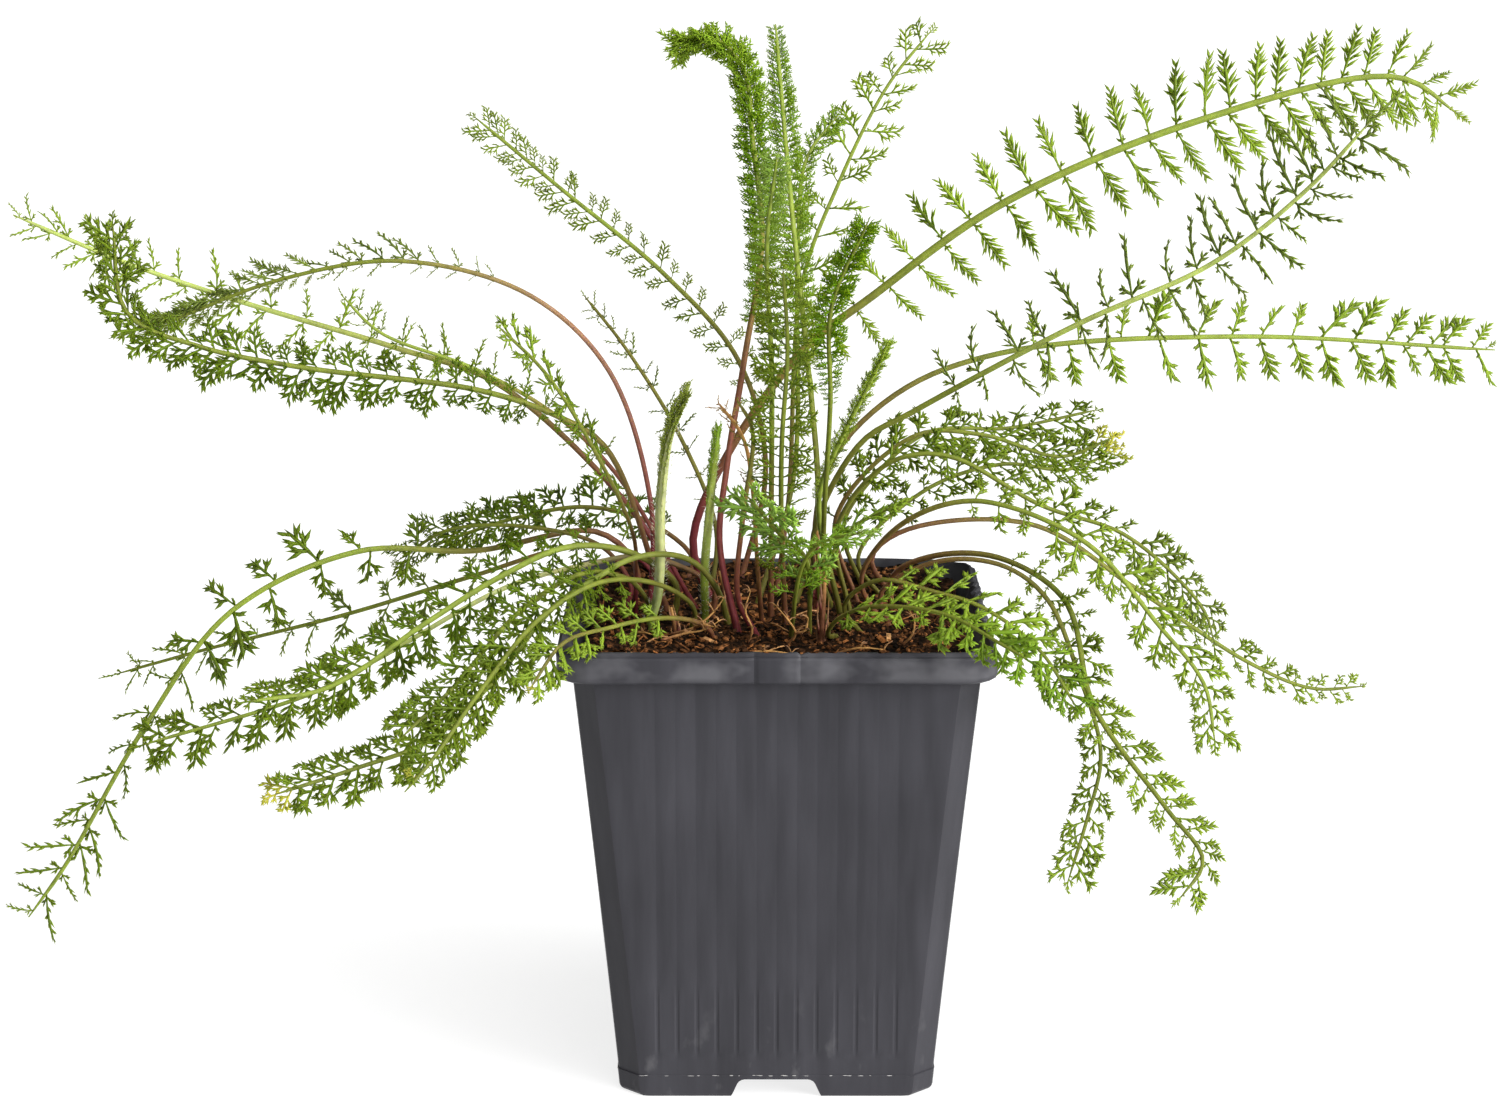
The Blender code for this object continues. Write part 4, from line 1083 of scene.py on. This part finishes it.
# ---- pot -------------------------------------------------------------------------------
RIBS_EACH_WAY = 6
RIB_END = 2.07
RIB_COLUMNS = ((-RIB_END, 0.0), (-0.55, 0.0), (-0.16, 1.0), (0.16, 1.0), (0.55, 0.0))
CORNER_COLUMNS = 6
EDGE_EASE = 0.9
GROOVE_FOOT = 8.6
GROOVE_FADE = 26.0
LIP_IN = 43.3
SHARPEST_SMOOTH = 21
FLECKS = 60
FLECK_LINE = 4.86
# Rings of the foot below the moulding line (height, step out from the wall), then the
# heights of those up the ribs.
FOOT_RINGS = ((0.4, -0.15), (0.9, 0.08), (4.5, 0.08), (4.75, 0.08))
BODY_RINGS = (4.9, 5.2, 8.0, 8.6, 9.4, 11, 14, 18, 22, 26, 31, 37, 44, 52, 60, 68, 76, 84)


def half_at(z):
    """Half the wall's width at a height."""
    return FOOT_HALF + (NECK_HALF - FOOT_HALF) * z / (POT_HEIGHT - RIM_BAND)


def model_tube(sides, steps):
    """An open upright tube, 1 in radius and 1 high for each step, and the ring and
    column of each of its points."""
    bpy.ops.mesh.primitive_circle_add(vertices=sides, radius=1.0, fill_type="NOTHING")
    tube = settle()
    begin_edit(tube)
    for step in range(steps):
        pick("edges", lambda edge: min(v.co.z for v in edge.verts) > step - 0.5)
        extrude((0, 0, 1.0))
    end_edit()
    points = points_of(tube)
    rings = np.rint(points[:, 2]).astype(int)
    turns = np.arctan2(points[:, 1], points[:, 0]) * sides / (2 * math.pi)
    return tube, rings, np.rint(turns).astype(int) % sides


def side_columns():
    """Offsets along one side, from end to end, and how much of a groove each one is."""
    columns = []
    for rib in range(-RIBS_EACH_WAY, RIBS_EACH_WAY + 1):
        columns += [(rib * RIB_PITCH + offset, weight) for offset, weight in RIB_COLUMNS]
    columns.append((RIBS_EACH_WAY * RIB_PITCH + RIB_END, 0.0))
    return columns


def corner_curve(half, corner, roundness):
    """Points round the +X +Y corner from +X to +Y: a chamfer at roundness 0, an arc at 1."""
    ease = EDGE_EASE
    made = []
    for step in range(CORNER_COLUMNS):
        share = step / (CORNER_COLUMNS - 1)
        turn = math.radians(90.0 * share)
        arc = tuple(half - corner + corner * f(turn) for f in (math.cos, math.sin))
        if share == 0.0:
            flat = (half, half - corner - ease)
        elif share == 1.0:
            flat = (half - corner - ease, half)
        else:
            inner = (share - 0.2) / 0.6
            start = (half - 0.3 * ease, half - corner + 0.5 * ease)
            flat = tuple(a + (b - a) * inner for a, b in zip(start, start[::-1]))
        made.append(tuple(f + (a - f) * roundness for f, a in zip(flat, arc)))
    return made


def pot_ring(half, corner, roundness, z, groove):
    """One ring of the pot: four ribbed sides and four corners."""
    reach = half - corner - 1.4
    side = [(half - groove * weight, min(max(along, -reach), reach))
            for along, weight in side_columns()]
    points = []
    for quarter in range(4):
        turn = math.radians(90.0 * quarter)
        for x, y in side + corner_curve(half, corner, roundness):
            points.append((x * math.cos(turn) - y * math.sin(turn),
                           x * math.sin(turn) + y * math.cos(turn), z))
    return np.array(points)


def groove_depth(z):
    """Grooves begin above the moulding line and fade up the wall."""
    if z < GROOVE_FOOT or z >= POT_HEIGHT - RIM_BAND:
        return 0.0
    deep = min(1.0, (z - GROOVE_FOOT) / 1.5) / (1.0 + math.exp((z - GROOVE_FADE) / 1.8))
    return RIB_DEPTH * (0.20 + 0.42 * deep)


def bell(x, middle, width):
    """1 at the middle, falling off softly to both sides."""
    return np.exp(-((x - middle) / width) ** 2)


def worn(points):
    """Small dents in the front of the rim and a crinkled lip at the right."""
    x, y, z = points.T
    front = np.clip((z - 91.5) / 1.5, 0.0, 1.0) * (y < -40.0)
    dent = 0.70 * bell(x, -4.7, 0.9) + 0.60 * bell(x, 5.1, 0.8)
    dent = dent + 0.35 * bell(x, -18.0, 4.0) + 0.3 * bell(x, 14, 5)
    sag = 0.55 + 0.45 * np.clip((POT_HEIGHT - z) / RIM_BAND, 0.0, 1.0)
    dent = dent + 0.9 * bell(x, -1.0, 12.0) * (1.0 - sag)
    y = y + front * dent * sag
    lip = np.clip((z - 95.5) / 3.0, 0.0, 1.0)
    right = lip * (x > 36.0) * np.clip((y + 30.0) / 20.0, 0.0, 1.0)
    x = x - right * (0.45 + 0.40 * np.sin(1.15 * y) + 0.22 * np.sin(2.9 * y + 1.0))
    z = z + right * (0.25 * np.sin(0.8 * y + 2.0) - 0.25)
    nick = lip * (np.maximum(abs(x), abs(y)) < 43.8)
    z = z - nick * np.clip(0.35 * np.sin(1.9 * x + 0.6 * y) + 0.25 * np.sin(4.3 * x), 0, 1)
    far = lip * (y > 40.0)
    y = y - far * (0.25 + 0.25 * np.sin(0.5 * x))
    return np.column_stack([x, y, z])


def pot_profile():
    """Rings from under the floor, round the foot, up the wall, over the rim and down to
    the floor: half width, corner, how round the corner is, and height."""
    band, top = POT_HEIGHT - RIM_BAND, POT_HEIGHT
    foot = half_at(0.0)
    flat = [(foot - FOOT_RIM, 0.0, FLOOR_UNDER), (foot - FOOT_RIM, 0.0, 0.0),
            (foot - 0.5, 0.0, 0.0)]
    flat += [(half_at(z) + step, 0.0, z) for z, step in FOOT_RINGS]
    flat += [(half_at(z) - 0.12 + 0.52 * (z / band) ** 2, 0.15 * (z > band - 1.0), z)
             for z in (*BODY_RINGS, band - 2.0, band)]
    flat.append((half_at(band) + 1.0, 0.6, band - 0.05))
    rim = [(RIM_HALF - 0.7, 1.0, band), (RIM_HALF - 0.2, 1.0, band + 0.4),
           (RIM_HALF, 1.0, band + 1.2), (RIM_HALF - 0.1, 1.0, band + 3.0),
           (RIM_HALF, 1.0, top - 1.5), (RIM_HALF - 0.2, 1.0, top - 1.0),
           (RIM_HALF - 0.8, 1.0, top - 0.85), (RIM_HALF - 0.9, 1.0, top - 0.1),
           (LIP_IN + 0.2, 1.0, top), (LIP_IN - 0.1, 1.0, top - 0.5),
           (LIP_IN - 0.5, 0.9, top - 1.6), (LIP_IN - 1.5, 0.6, top - 3.4)]
    inner = [(half_at(band) - WALL, 0.3, band),
             (half_at(FLOOR_TOP) - WALL - 0.3, 0.0, FLOOR_TOP)]
    corners = ((flat, BODY_CHAMFER), (rim, RIM_CORNER), (inner, BODY_CHAMFER))
    return [(half, corner, roundness, z)
            for rows, corner in corners for half, roundness, z in rows]


def model_notch():
    """A cutter for the gap between two feet, with its place at the back."""
    bpy.ops.mesh.primitive_cube_add(size=1.0)
    notch = settle()
    begin_edit(notch)
    resize(NOTCH_TOP * MM, (FOOT_RIM + 5.0) * MM, (NOTCH_HEIGHT + 0.6) * MM)
    pick_underside()
    resize(NOTCH_BOTTOM / NOTCH_TOP, 1.0, 1.0)
    pick("edges", lambda edge: abs(edge.verts[0].co.y - edge.verts[1].co.y) > 0.001
         and edge.verts[0].co.z > 0.0)
    bpy.ops.mesh.bevel(offset=1.1 * MM, segments=3, affect="EDGES")
    end_edit()
    return notch, moved(0, (FOOT_HALF + 0.5) * MM, 0.5 * (NOTCH_HEIGHT - 0.6) * MM)


def model_drain():
    """A cutter for a drain hole in the floor, with its place."""
    bpy.ops.mesh.primitive_cylinder_add(vertices=24, radius=DRAIN_RADIUS * MM, depth=8.0 * MM)
    return settle(), moved(DRAIN_REACH * MM, DRAIN_REACH * MM, (FLOOR_TOP - 1.0) * MM)


def model_pot():
    """The tapered, grooved body with its rim band, foot notches and drain holes."""
    rings = [worn(pot_ring(half, corner, roundness, z, groove_depth(z)))
             for half, corner, roundness, z in pot_profile()]
    body, ring, column = model_tube(len(rings[0]), len(rings) - 1)
    move_points(body, np.array(rings)[ring, column] * MM)
    begin_edit(body)
    for height in (FLOOR_UNDER * MM, FLOOR_TOP * MM):
        pick("edges", lambda edge: edge.is_boundary
             and all(abs(v.co.z - height) < 1e-6 for v in edge.verts))
        bpy.ops.mesh.edge_face_add()
    end_edit_faced()
    for side in range(4):
        for cutter, place in (model_notch(), model_drain()):
            cutter.data.transform(turned(90.0 * side, "Z") @ place)
            cut_away(body, cutter)
    smooth(body, SHARPEST_SMOOTH)
    return rename(body, "ribbed_pot")


def model_flecks():
    """Pale shavings of plastic caught along the moulding line."""
    rng = random.Random(7)
    bits = []
    for _ in range(FLECKS):
        bpy.ops.mesh.primitive_ico_sphere_add(subdivisions=1, radius=1.0)
        bit = settle()
        turn = turned(90.0 * rng.choice((0, 0, 1, 2, 3)), "Z")
        along = rng.uniform(-29.0, 29.0)
        size = Matrix.Diagonal((rng.uniform(0.15, 0.75), 0.06, rng.uniform(0.035, 0.09), 1.0))
        place = moved(along, -half_at(5.0) - 0.02, FLECK_LINE + rng.uniform(-.08, .08))
        bit.data.transform(IN_METRES @ turn @ place @ size)
        bits.append(bit)
    return join(bits, "moulding_flecks")


# ---- soil ------------------------------------------------------------------------------
SOIL_CELLS = 120
SOIL_SKIRT = 6.0


def rough_height(x, y):
    """The soil's top with crumbs heaped on it."""
    crumbs = noise.fractal(Vector((x * 0.42, y * 0.42, 3.0)), 0.8, 2.2, 5)
    striation_and_highlight = abs(noise.noise(Vector((x * 0.16, y * 0.16, 9.0))))
    return soil_height(x, y) + 0.55 * crumbs + 1.0 * striation_and_highlight - 0.15


def model_soil():
    """The peat's uneven top, with a skirt down the inside of the pot."""
    bpy.ops.mesh.primitive_grid_add(x_subdivisions=SOIL_CELLS, y_subdivisions=SOIL_CELLS,
                                    size=2 * SOIL_HALF)
    soil = settle()
    points = points_of(soil)
    limit = 2.0 * SOIL_HALF - BODY_CHAMFER - 1.5
    over = np.clip(np.abs(points[:, 0]) + np.abs(points[:, 1]) - limit, 0.0, None)
    points[:, :2] -= np.sign(points[:, :2]) * 0.5 * over[:, None]
    points[:, 2] = [rough_height(x, y) for x, y in points[:, :2]]
    move_points(soil, points * MM)
    begin_edit(soil)
    pick("edges", lambda edge: edge.is_boundary)
    extrude((0, 0, -SOIL_SKIRT * MM))
    resize(0.975, 0.975, 1.0, center_override=(0, 0, 0))
    bpy.ops.mesh.edge_face_add()
    end_edit_faced()
    smooth(soil)
    return rename(soil, "peat_top")


def roughen(thing, least, rng):
    """Stretch and squeeze a shape by moving each point out or in at random."""
    move_points(thing, [[c * rng.uniform(least, 1.2) for c in point]
                        for point in points_of(thing)])
    return thing


def model_crumb_shapes(rng):
    """Small lumps, splinters and bent fibres, each about 1 long."""
    lumps, chips, fibres = [], [], []
    for _ in range(7):
        bpy.ops.mesh.primitive_ico_sphere_add(subdivisions=1, radius=0.5)
        lumps.append(roughen(settle(), 0.62, rng))
    for _ in range(5):
        bpy.ops.mesh.primitive_cube_add(size=1.0, scale=(1.0, 0.34, 0.12))
        chips.append(roughen(settle(), 0.6, rng))
    for _ in range(6):
        fibre = spike(0.035, 0.3, 0.0)
        begin_edit(fibre)
        for _ in range(3):
            pick_underside()
            extrude((rng.uniform(-.10, .10), rng.uniform(-.10, .10), -0.24))
        end_edit()
        smooth(fibre)
        fibre.data.transform(moved(0, 0, 0.25))
        fibre.data.transform(turned(90, "Y"))
        fibres.append(fibre)
    return lumps, chips, fibres


def scatter(shapes, count, sizes, colours, rng, sink, squash=1.0):
    """Drop copies of the shapes at random over the soil."""
    near = SOIL_HALF - 1.4
    made = []
    while len(made) < count:
        x, y = rng.uniform(-near, near), rng.uniform(-near, near)
        if abs(x) + abs(y) > 2 * SOIL_HALF - BODY_CHAMFER - 4.0:
            continue
        size = rng.uniform(*sizes) * rng.uniform(0.6, 1.0)
        tilt = turned(rng.uniform(0, 360), "Z") @ turned(rng.uniform(-35, 35), "X")
        tilt = tilt @ turned(rng.uniform(-35, 35), "Y")
        place = moved(x, y, rough_height(x, y) + size * sink)
        bit = copy_of(rng.choice(shapes),
                      place @ tilt @ Matrix.Diagonal((size, size, size * squash, 1.0)))
        paint(bit, linear(rng.choice(colours)) * rng.uniform(0.7, 1.3))
        made.append(bit)
    return made


def model_crumbs():
    """Peat lumps, bark splinters and fibres lying on the soil."""
    rng = random.Random(3)
    lumps, chips, fibres = model_crumb_shapes(rng)
    bits = scatter(lumps, 2100, (0.5, 1.9), PEAT, rng, 0.12, 0.75)
    bits += scatter(lumps, 70, (1.6, 2.5), PEAT[1:4], rng, 0.12, 0.75)
    bits += scatter(chips, 420, (1.0, 3.4), PEAT[2:] + BARK[2:], rng, 0.10)
    bits += scatter(chips, 70, (1.2, 3.6), BARK, rng, 0.14)
    bits += scatter(fibres, 760, (1.8, 6.0), PEAT[1:] + BARK[2:], rng, 0.03)
    bits += scatter(fibres, 60, (3.0, 7.5), BARK, rng, 0.05)
    crumbs = join(bits, "peat_crumbs")
    discard(*lumps, *chips, *fibres)
    points = points_of(crumbs)
    limit = SOIL_HALF - 0.2
    points[:, :2] = np.clip(points[:, :2], -limit, limit)
    move_points(crumbs, points * MM)
    return crumbs


# ---- crown -----------------------------------------------------------------------------
FRAYS = 11
HAIRS = 420
HAIR_LENGTH = 1.1
BAND_PLACES = (0, 0.3, 0.6, 0.9, 1)
BAND_WIDTHS = (0.75, 1.0, 0.95, 0.6, 0.15)
BAND_ROOT = 0.06

# Routes of the dry leaf ends and straws that lie about the crown.
STRAWS = [
    [(-22, -18, 96.5), (-17, -20, 98.5), (-13, -19, 101.5), (-11, -17, 104)],
    [(-24, -22, 96.2), (-19, -21, 97.4), (-15, -22, 98.4), (-12, -23, 100.5)],
    [(-17, -20, 98.4), (-15, -22.5, 99.6), (-12.5, -23, 99.2)],
    [(-6, -22, 95.6), (-5, -24, 99), (-6.5, -24, 103), (-5.4, -24, 107)],
    [(2, -24, 95.8), (4, -26, 98.6), (2.5, -27, 101.5), (0, -26.5, 104.5)],
    [(4, -26, 98.6), (6, -27, 99.6), (6.5, -26, 101.8)],
    [(26, -24, 95.6), (28, -25, 98), (28.5, -24, 101), (27, -24, 103.5)],
    [(12, -30, 95.4), (17, -31, 96.8), (22, -30, 96.2)],
    [(-32, -12, 94.6), (-28, -16, 96.4), (-24, -18, 95.8)],
    [(-8, -32, 95.2), (-3, -33, 96.6), (3, -32, 95.9)]]


def lay_strand(points, radii, sides, colours):
    """A round strand along a smooth route, with radii and colours spread along it."""
    route = smooth_route(points)
    # The frames come from a route with a slight slant, as an upright one has no heading.
    slanted = route + np.linspace(0, 1e-3, len(route))[:, None]
    path = (route, *path_of(slanted)[1:])
    steps = max(6, 2 * (len(route) - 1))
    strand, ring, column = model_tube(sides, steps)
    share = ring / steps
    centre, _, side, normal = follow(path, share)
    turn = 2 * math.pi * column[:, None] / sides
    thick = np.interp(share, np.linspace(0, 1, len(radii)), radii)[:, None]
    places = centre + thick * (side * np.cos(turn) + normal * np.sin(turn))
    move_points(strand, places * MM)
    begin_edit(strand)
    pick("edges", lambda edge: edge.is_boundary)
    bpy.ops.mesh.edge_face_add()
    end_edit_faced()
    smooth(strand)
    paint(strand, shade_along(share, np.linspace(0, 1, len(colours)), colours))
    return strand


def dress_stub(stub):
    """An old stem wrapped in a torn sheath, its rim frayed into thin points."""
    rng = random.Random(stub.name)
    foot = np.array((*stub.foot, STALK_FOOT), float)
    tip = np.array(stub.tip, float)
    middle = 0.5 * (foot + tip) + np.array((rng.uniform(-.4, .4), rng.uniform(-.4, .4), 0))
    radius = stub.thick * 0.5
    parts = [lay_strand([foot, middle, tip - (0, 0, 1.0)],
                        (radius * 0.80, radius * 0.72, radius * 0.55, radius * 0.35), 9,
                        ("wine", "brown", "brown", "straw"))]
    for _ in range(FRAYS):
        turn = rng.uniform(0, 2 * math.pi)
        out = np.array((math.cos(turn), math.sin(turn), 0.0))
        start = rng.uniform(0.25, 0.8)
        root = foot + (tip - foot) * start + out * radius * 0.5
        end = foot + (tip - foot) * min(1.0, start + rng.uniform(0.1, 0.35))
        end = end + out * radius * rng.uniform(0.6, 1.6)
        parts.append(lay_strand([root, 0.5 * (root + end) + out * 0.3, end],
                                (0.34, 0.22, 0.04), 4,
                                (rng.choice(("brown", "wine")), "tan", "straw")))
    return join(parts, stub.name + "_fine")


def model_straws():
    """Dry twisted leaf ends and straws lying about the crown."""
    rng = random.Random(11)
    parts = []
    for route in STRAWS:
        parts.append(lay_strand(route, (0.30, 0.27, 0.20, 0.08), 5,
                                ("brown", "straw", "straw")))
        for at in np.array(route[1:], float).repeat(3, axis=0):
            reach = np.array([rng.uniform(-1.9, 1.9), rng.uniform(-1.4, 1.4),
                              rng.uniform(-0.2, 2.2)])
            parts.append(lay_strand([at, at + 0.5 * reach + (0, 0, 0.4), at + reach],
                                    (0.15, 0.13, 0.05), 4, ("straw", "tan")))
    return join(parts, "dry_straws")


def woolly_hairs(hair, path, thick, rng):
    """Fine pale hairs standing forwards off a stalk, nearly from end to end."""
    made = []
    for _ in range(HAIRS):
        centre, tangent, side, normal = follow(path, rng.uniform(0.05, 0.95))
        turn = rng.uniform(0, 2 * math.pi)
        out = side * math.cos(turn) + normal * math.sin(turn)
        reach = (out + tangent / np.linalg.norm(tangent) * rng.uniform(0.4, 1.8)
                 + np.array([rng.uniform(-0.4, 0.4) for _ in range(3)]))
        spin = Vector(reach).normalized().to_track_quat("Z", "Y").to_matrix().to_4x4()
        long = HAIR_LENGTH * rng.uniform(0.5, 1.2)
        place = moved(*(centre + out * thick * 0.85))
        made.append(copy_of(hair, IN_METRES @ place @ spin
                            @ Matrix.Diagonal((1, 1, long, 1))))
        paint(made[-1], linear("hair"))
        grade(made[-1], 0.6)
    return made


def lay_band(template, name, path, young):
    """The folded blade of a young leaf, hollow along its upper side."""
    band = rename(copy_of(template), name)
    straight = points_of(band)
    share = np.clip(straight[:, 2], 0.0, 1.0)
    centre, _, side, normal = follow(path, share)
    wide = young.broad * np.interp(share, BAND_PLACES, BAND_WIDTHS)
    hollow = np.where(straight[:, 1] > 0.9, 0.1, 0.55)
    points = centre + side * (straight[:, 0] * wide)[:, None]
    points += normal * (straight[:, 1] * wide * hollow)[:, None]
    points[:, 2] -= np.clip(BAND_ROOT - straight[:, 2], 0, 1) * 120
    move_points(band, points * MM)
    paint(band, shade_along(share, (0, .25, .5, .8, 1), young.band))
    grade(band, 0.6)
    return band


def dress_young(leaf, path, kits, template, rng):
    """A leaf still folded along its length: a woolly band edged with crimped lobes."""
    young = YOUNG[leaf.name]
    band = lay_band(template, leaf.name + "_band", path, young)
    lobes = []
    for row in range(young.rows):
        at = young.bare + (LAST_STATION - young.bare) * (row + 0.5) / young.rows
        grown = np.interp(at, (young.bare, 0.6, 0.85, 1.0), (0.25, 0.7, 1.25, 1.0))
        wide = young.broad * np.interp(at, BAND_PLACES, BAND_WIDTHS)
        mix = min(1.0, max(0.0, (at - young.bare) / (0.8 - young.bare)))
        tint = linear(young.foot) * (1 - mix) + linear(young.tip) * mix
        centre, tangent, side, normal = follow(path, at)
        tangent = tangent / np.linalg.norm(tangent)
        for hand in (-1.0, 1.0, -0.4, 0.4):
            lean = math.radians(rng.uniform(26, 44))
            out = side * hand + normal * (0.25 if abs(hand) == 1.0 else 0.8)
            direction = tangent * math.cos(lean) + out / np.linalg.norm(out) * math.sin(lean)
            direction /= np.linalg.norm(direction)
            root = centre + side * hand * wide * 0.75
            leaflet, shape = rng.choice(kits["plume"])
            points = place_leaflet(shape, root, direction, tangent,
                                   young.size * grown * rng.uniform(0.8, 1.15),
                                   (0.2, rng.uniform(-0.3, 0.3)))
            if inside_box(points):
                lobes.append(grow(leaflet, points, tint * rng.uniform(0.85, 1.25)))
    hair = spike(0.05, 1.0, 0.5)
    hairs = woolly_hairs(hair, path, young.broad * 0.8, rng)
    discard(hair)
    return join(lobes + hairs + [band], leaf.name + "_fine")


# ---- stage -----------------------------------------------------------------------------
FLOOR_SIZE = 24.0
FLOOR_BACK = 5.0
WORLD_LIGHT = 0.20
# Each light: the direction towards it, its spread in degrees and its strength.
LIGHTS = {"side_window": ((0.78, -0.56, 0.26), 34, 4.3),
          "ceiling": ((0.32, -0.42, 1.0), 50, 2.6)}
FOCAL_LENGTH = 87.84
SENSOR_WIDTH = 36.0
CAMERA_PLACE = (-0.0055, -0.760, 0.279)
CAMERA_PITCH = 77.5


def build_stage():
    bpy.ops.mesh.primitive_plane_add(size=FLOOR_SIZE, location=(0, FLOOR_BACK, 0))
    floor = rename(settle(), "studio_floor")
    floor.data.materials.append(flat_skin("pale_floor", (0.32, 0.32, 0.32), 0.9, 0.80))
    for name, (toward, spread, strength) in LIGHTS.items():
        data = bpy.data.lights.new(name, "SUN")
        data.angle = math.radians(spread)
        data.energy = strength
        light = add_to_scene(bpy.data.objects.new(name, data))
        light.location = toward
        light.rotation_euler = Vector(toward).to_track_quat("Z", "Y").to_euler()
    world = bpy.data.worlds.new("studio")
    world.use_nodes = True
    wire(world.node_tree.nodes["Background"], {"Color": (1, 1, 1, 1), "Strength": WORLD_LIGHT})
    scene = bpy.context.scene
    scene.world = world
    scene.view_settings.view_transform = "Standard"

    lens = bpy.data.cameras.new("camera")
    lens.lens = FOCAL_LENGTH
    lens.sensor_width = SENSOR_WIDTH
    lens.clip_start = 0.02
    camera = add_to_scene(bpy.data.objects.new("camera", lens))
    camera.location = CAMERA_PLACE
    camera.rotation_euler = (math.radians(CAMERA_PITCH), 0.0, 0.0)
    scene.camera = camera


def build_leaves():
    skin = leaf_skin()
    stubs = [((*stub.foot, STALK_NECK), stub.tip) for stub in STUBS]
    radii = [grown.thick * 0.5 for grown in LEAVES + STUBS]
    routes = [smooth_route(points) for points in [leaf.route for leaf in LEAVES] + stubs]
    routes = spread_routes(routes, radii, len(LEAVES))
    kits = model_leaflets()
    template = model_stalk()
    for index, (leaf, route) in enumerate(zip(LEAVES, routes)):
        path = path_of(route, leaf.roll)
        build = dress_young if leaf.name in YOUNG else dress_leaf
        piece = build(leaf, path, kits, template, random.Random(50 + index))
        dress(piece, skin, "leaf_" + leaf.finish, leaf.name)
    for variants in kits.values():
        discard(*(leaflet for leaflet, _ in variants))
    discard(template)


def main():
    build_stage()
    build_leaves()
    bark = tinted_skin("dry_bark", 0.8, 900.0, 0.6, 1.3)
    for stub in STUBS:
        dress(dress_stub(stub), bark, "old_stalk", stub.name)
    dress(model_straws(), bark, "old_stalk")
    dress(model_pot(), pot_skin(), "pot_plastic", "pot")
    shavings = flat_skin("pale_shavings", (0.42, 0.41, 0.40), 0.6)
    dress(model_flecks(), shavings, "pot_plastic")
    dress(model_soil(), peat_skin(), "peat", "soil")
    crumbs = tinted_skin("peat_bits", 0.9, 1400.0, 0.45, 1.55)
    dress(model_crumbs(), crumbs, "peat", "soil")


main()
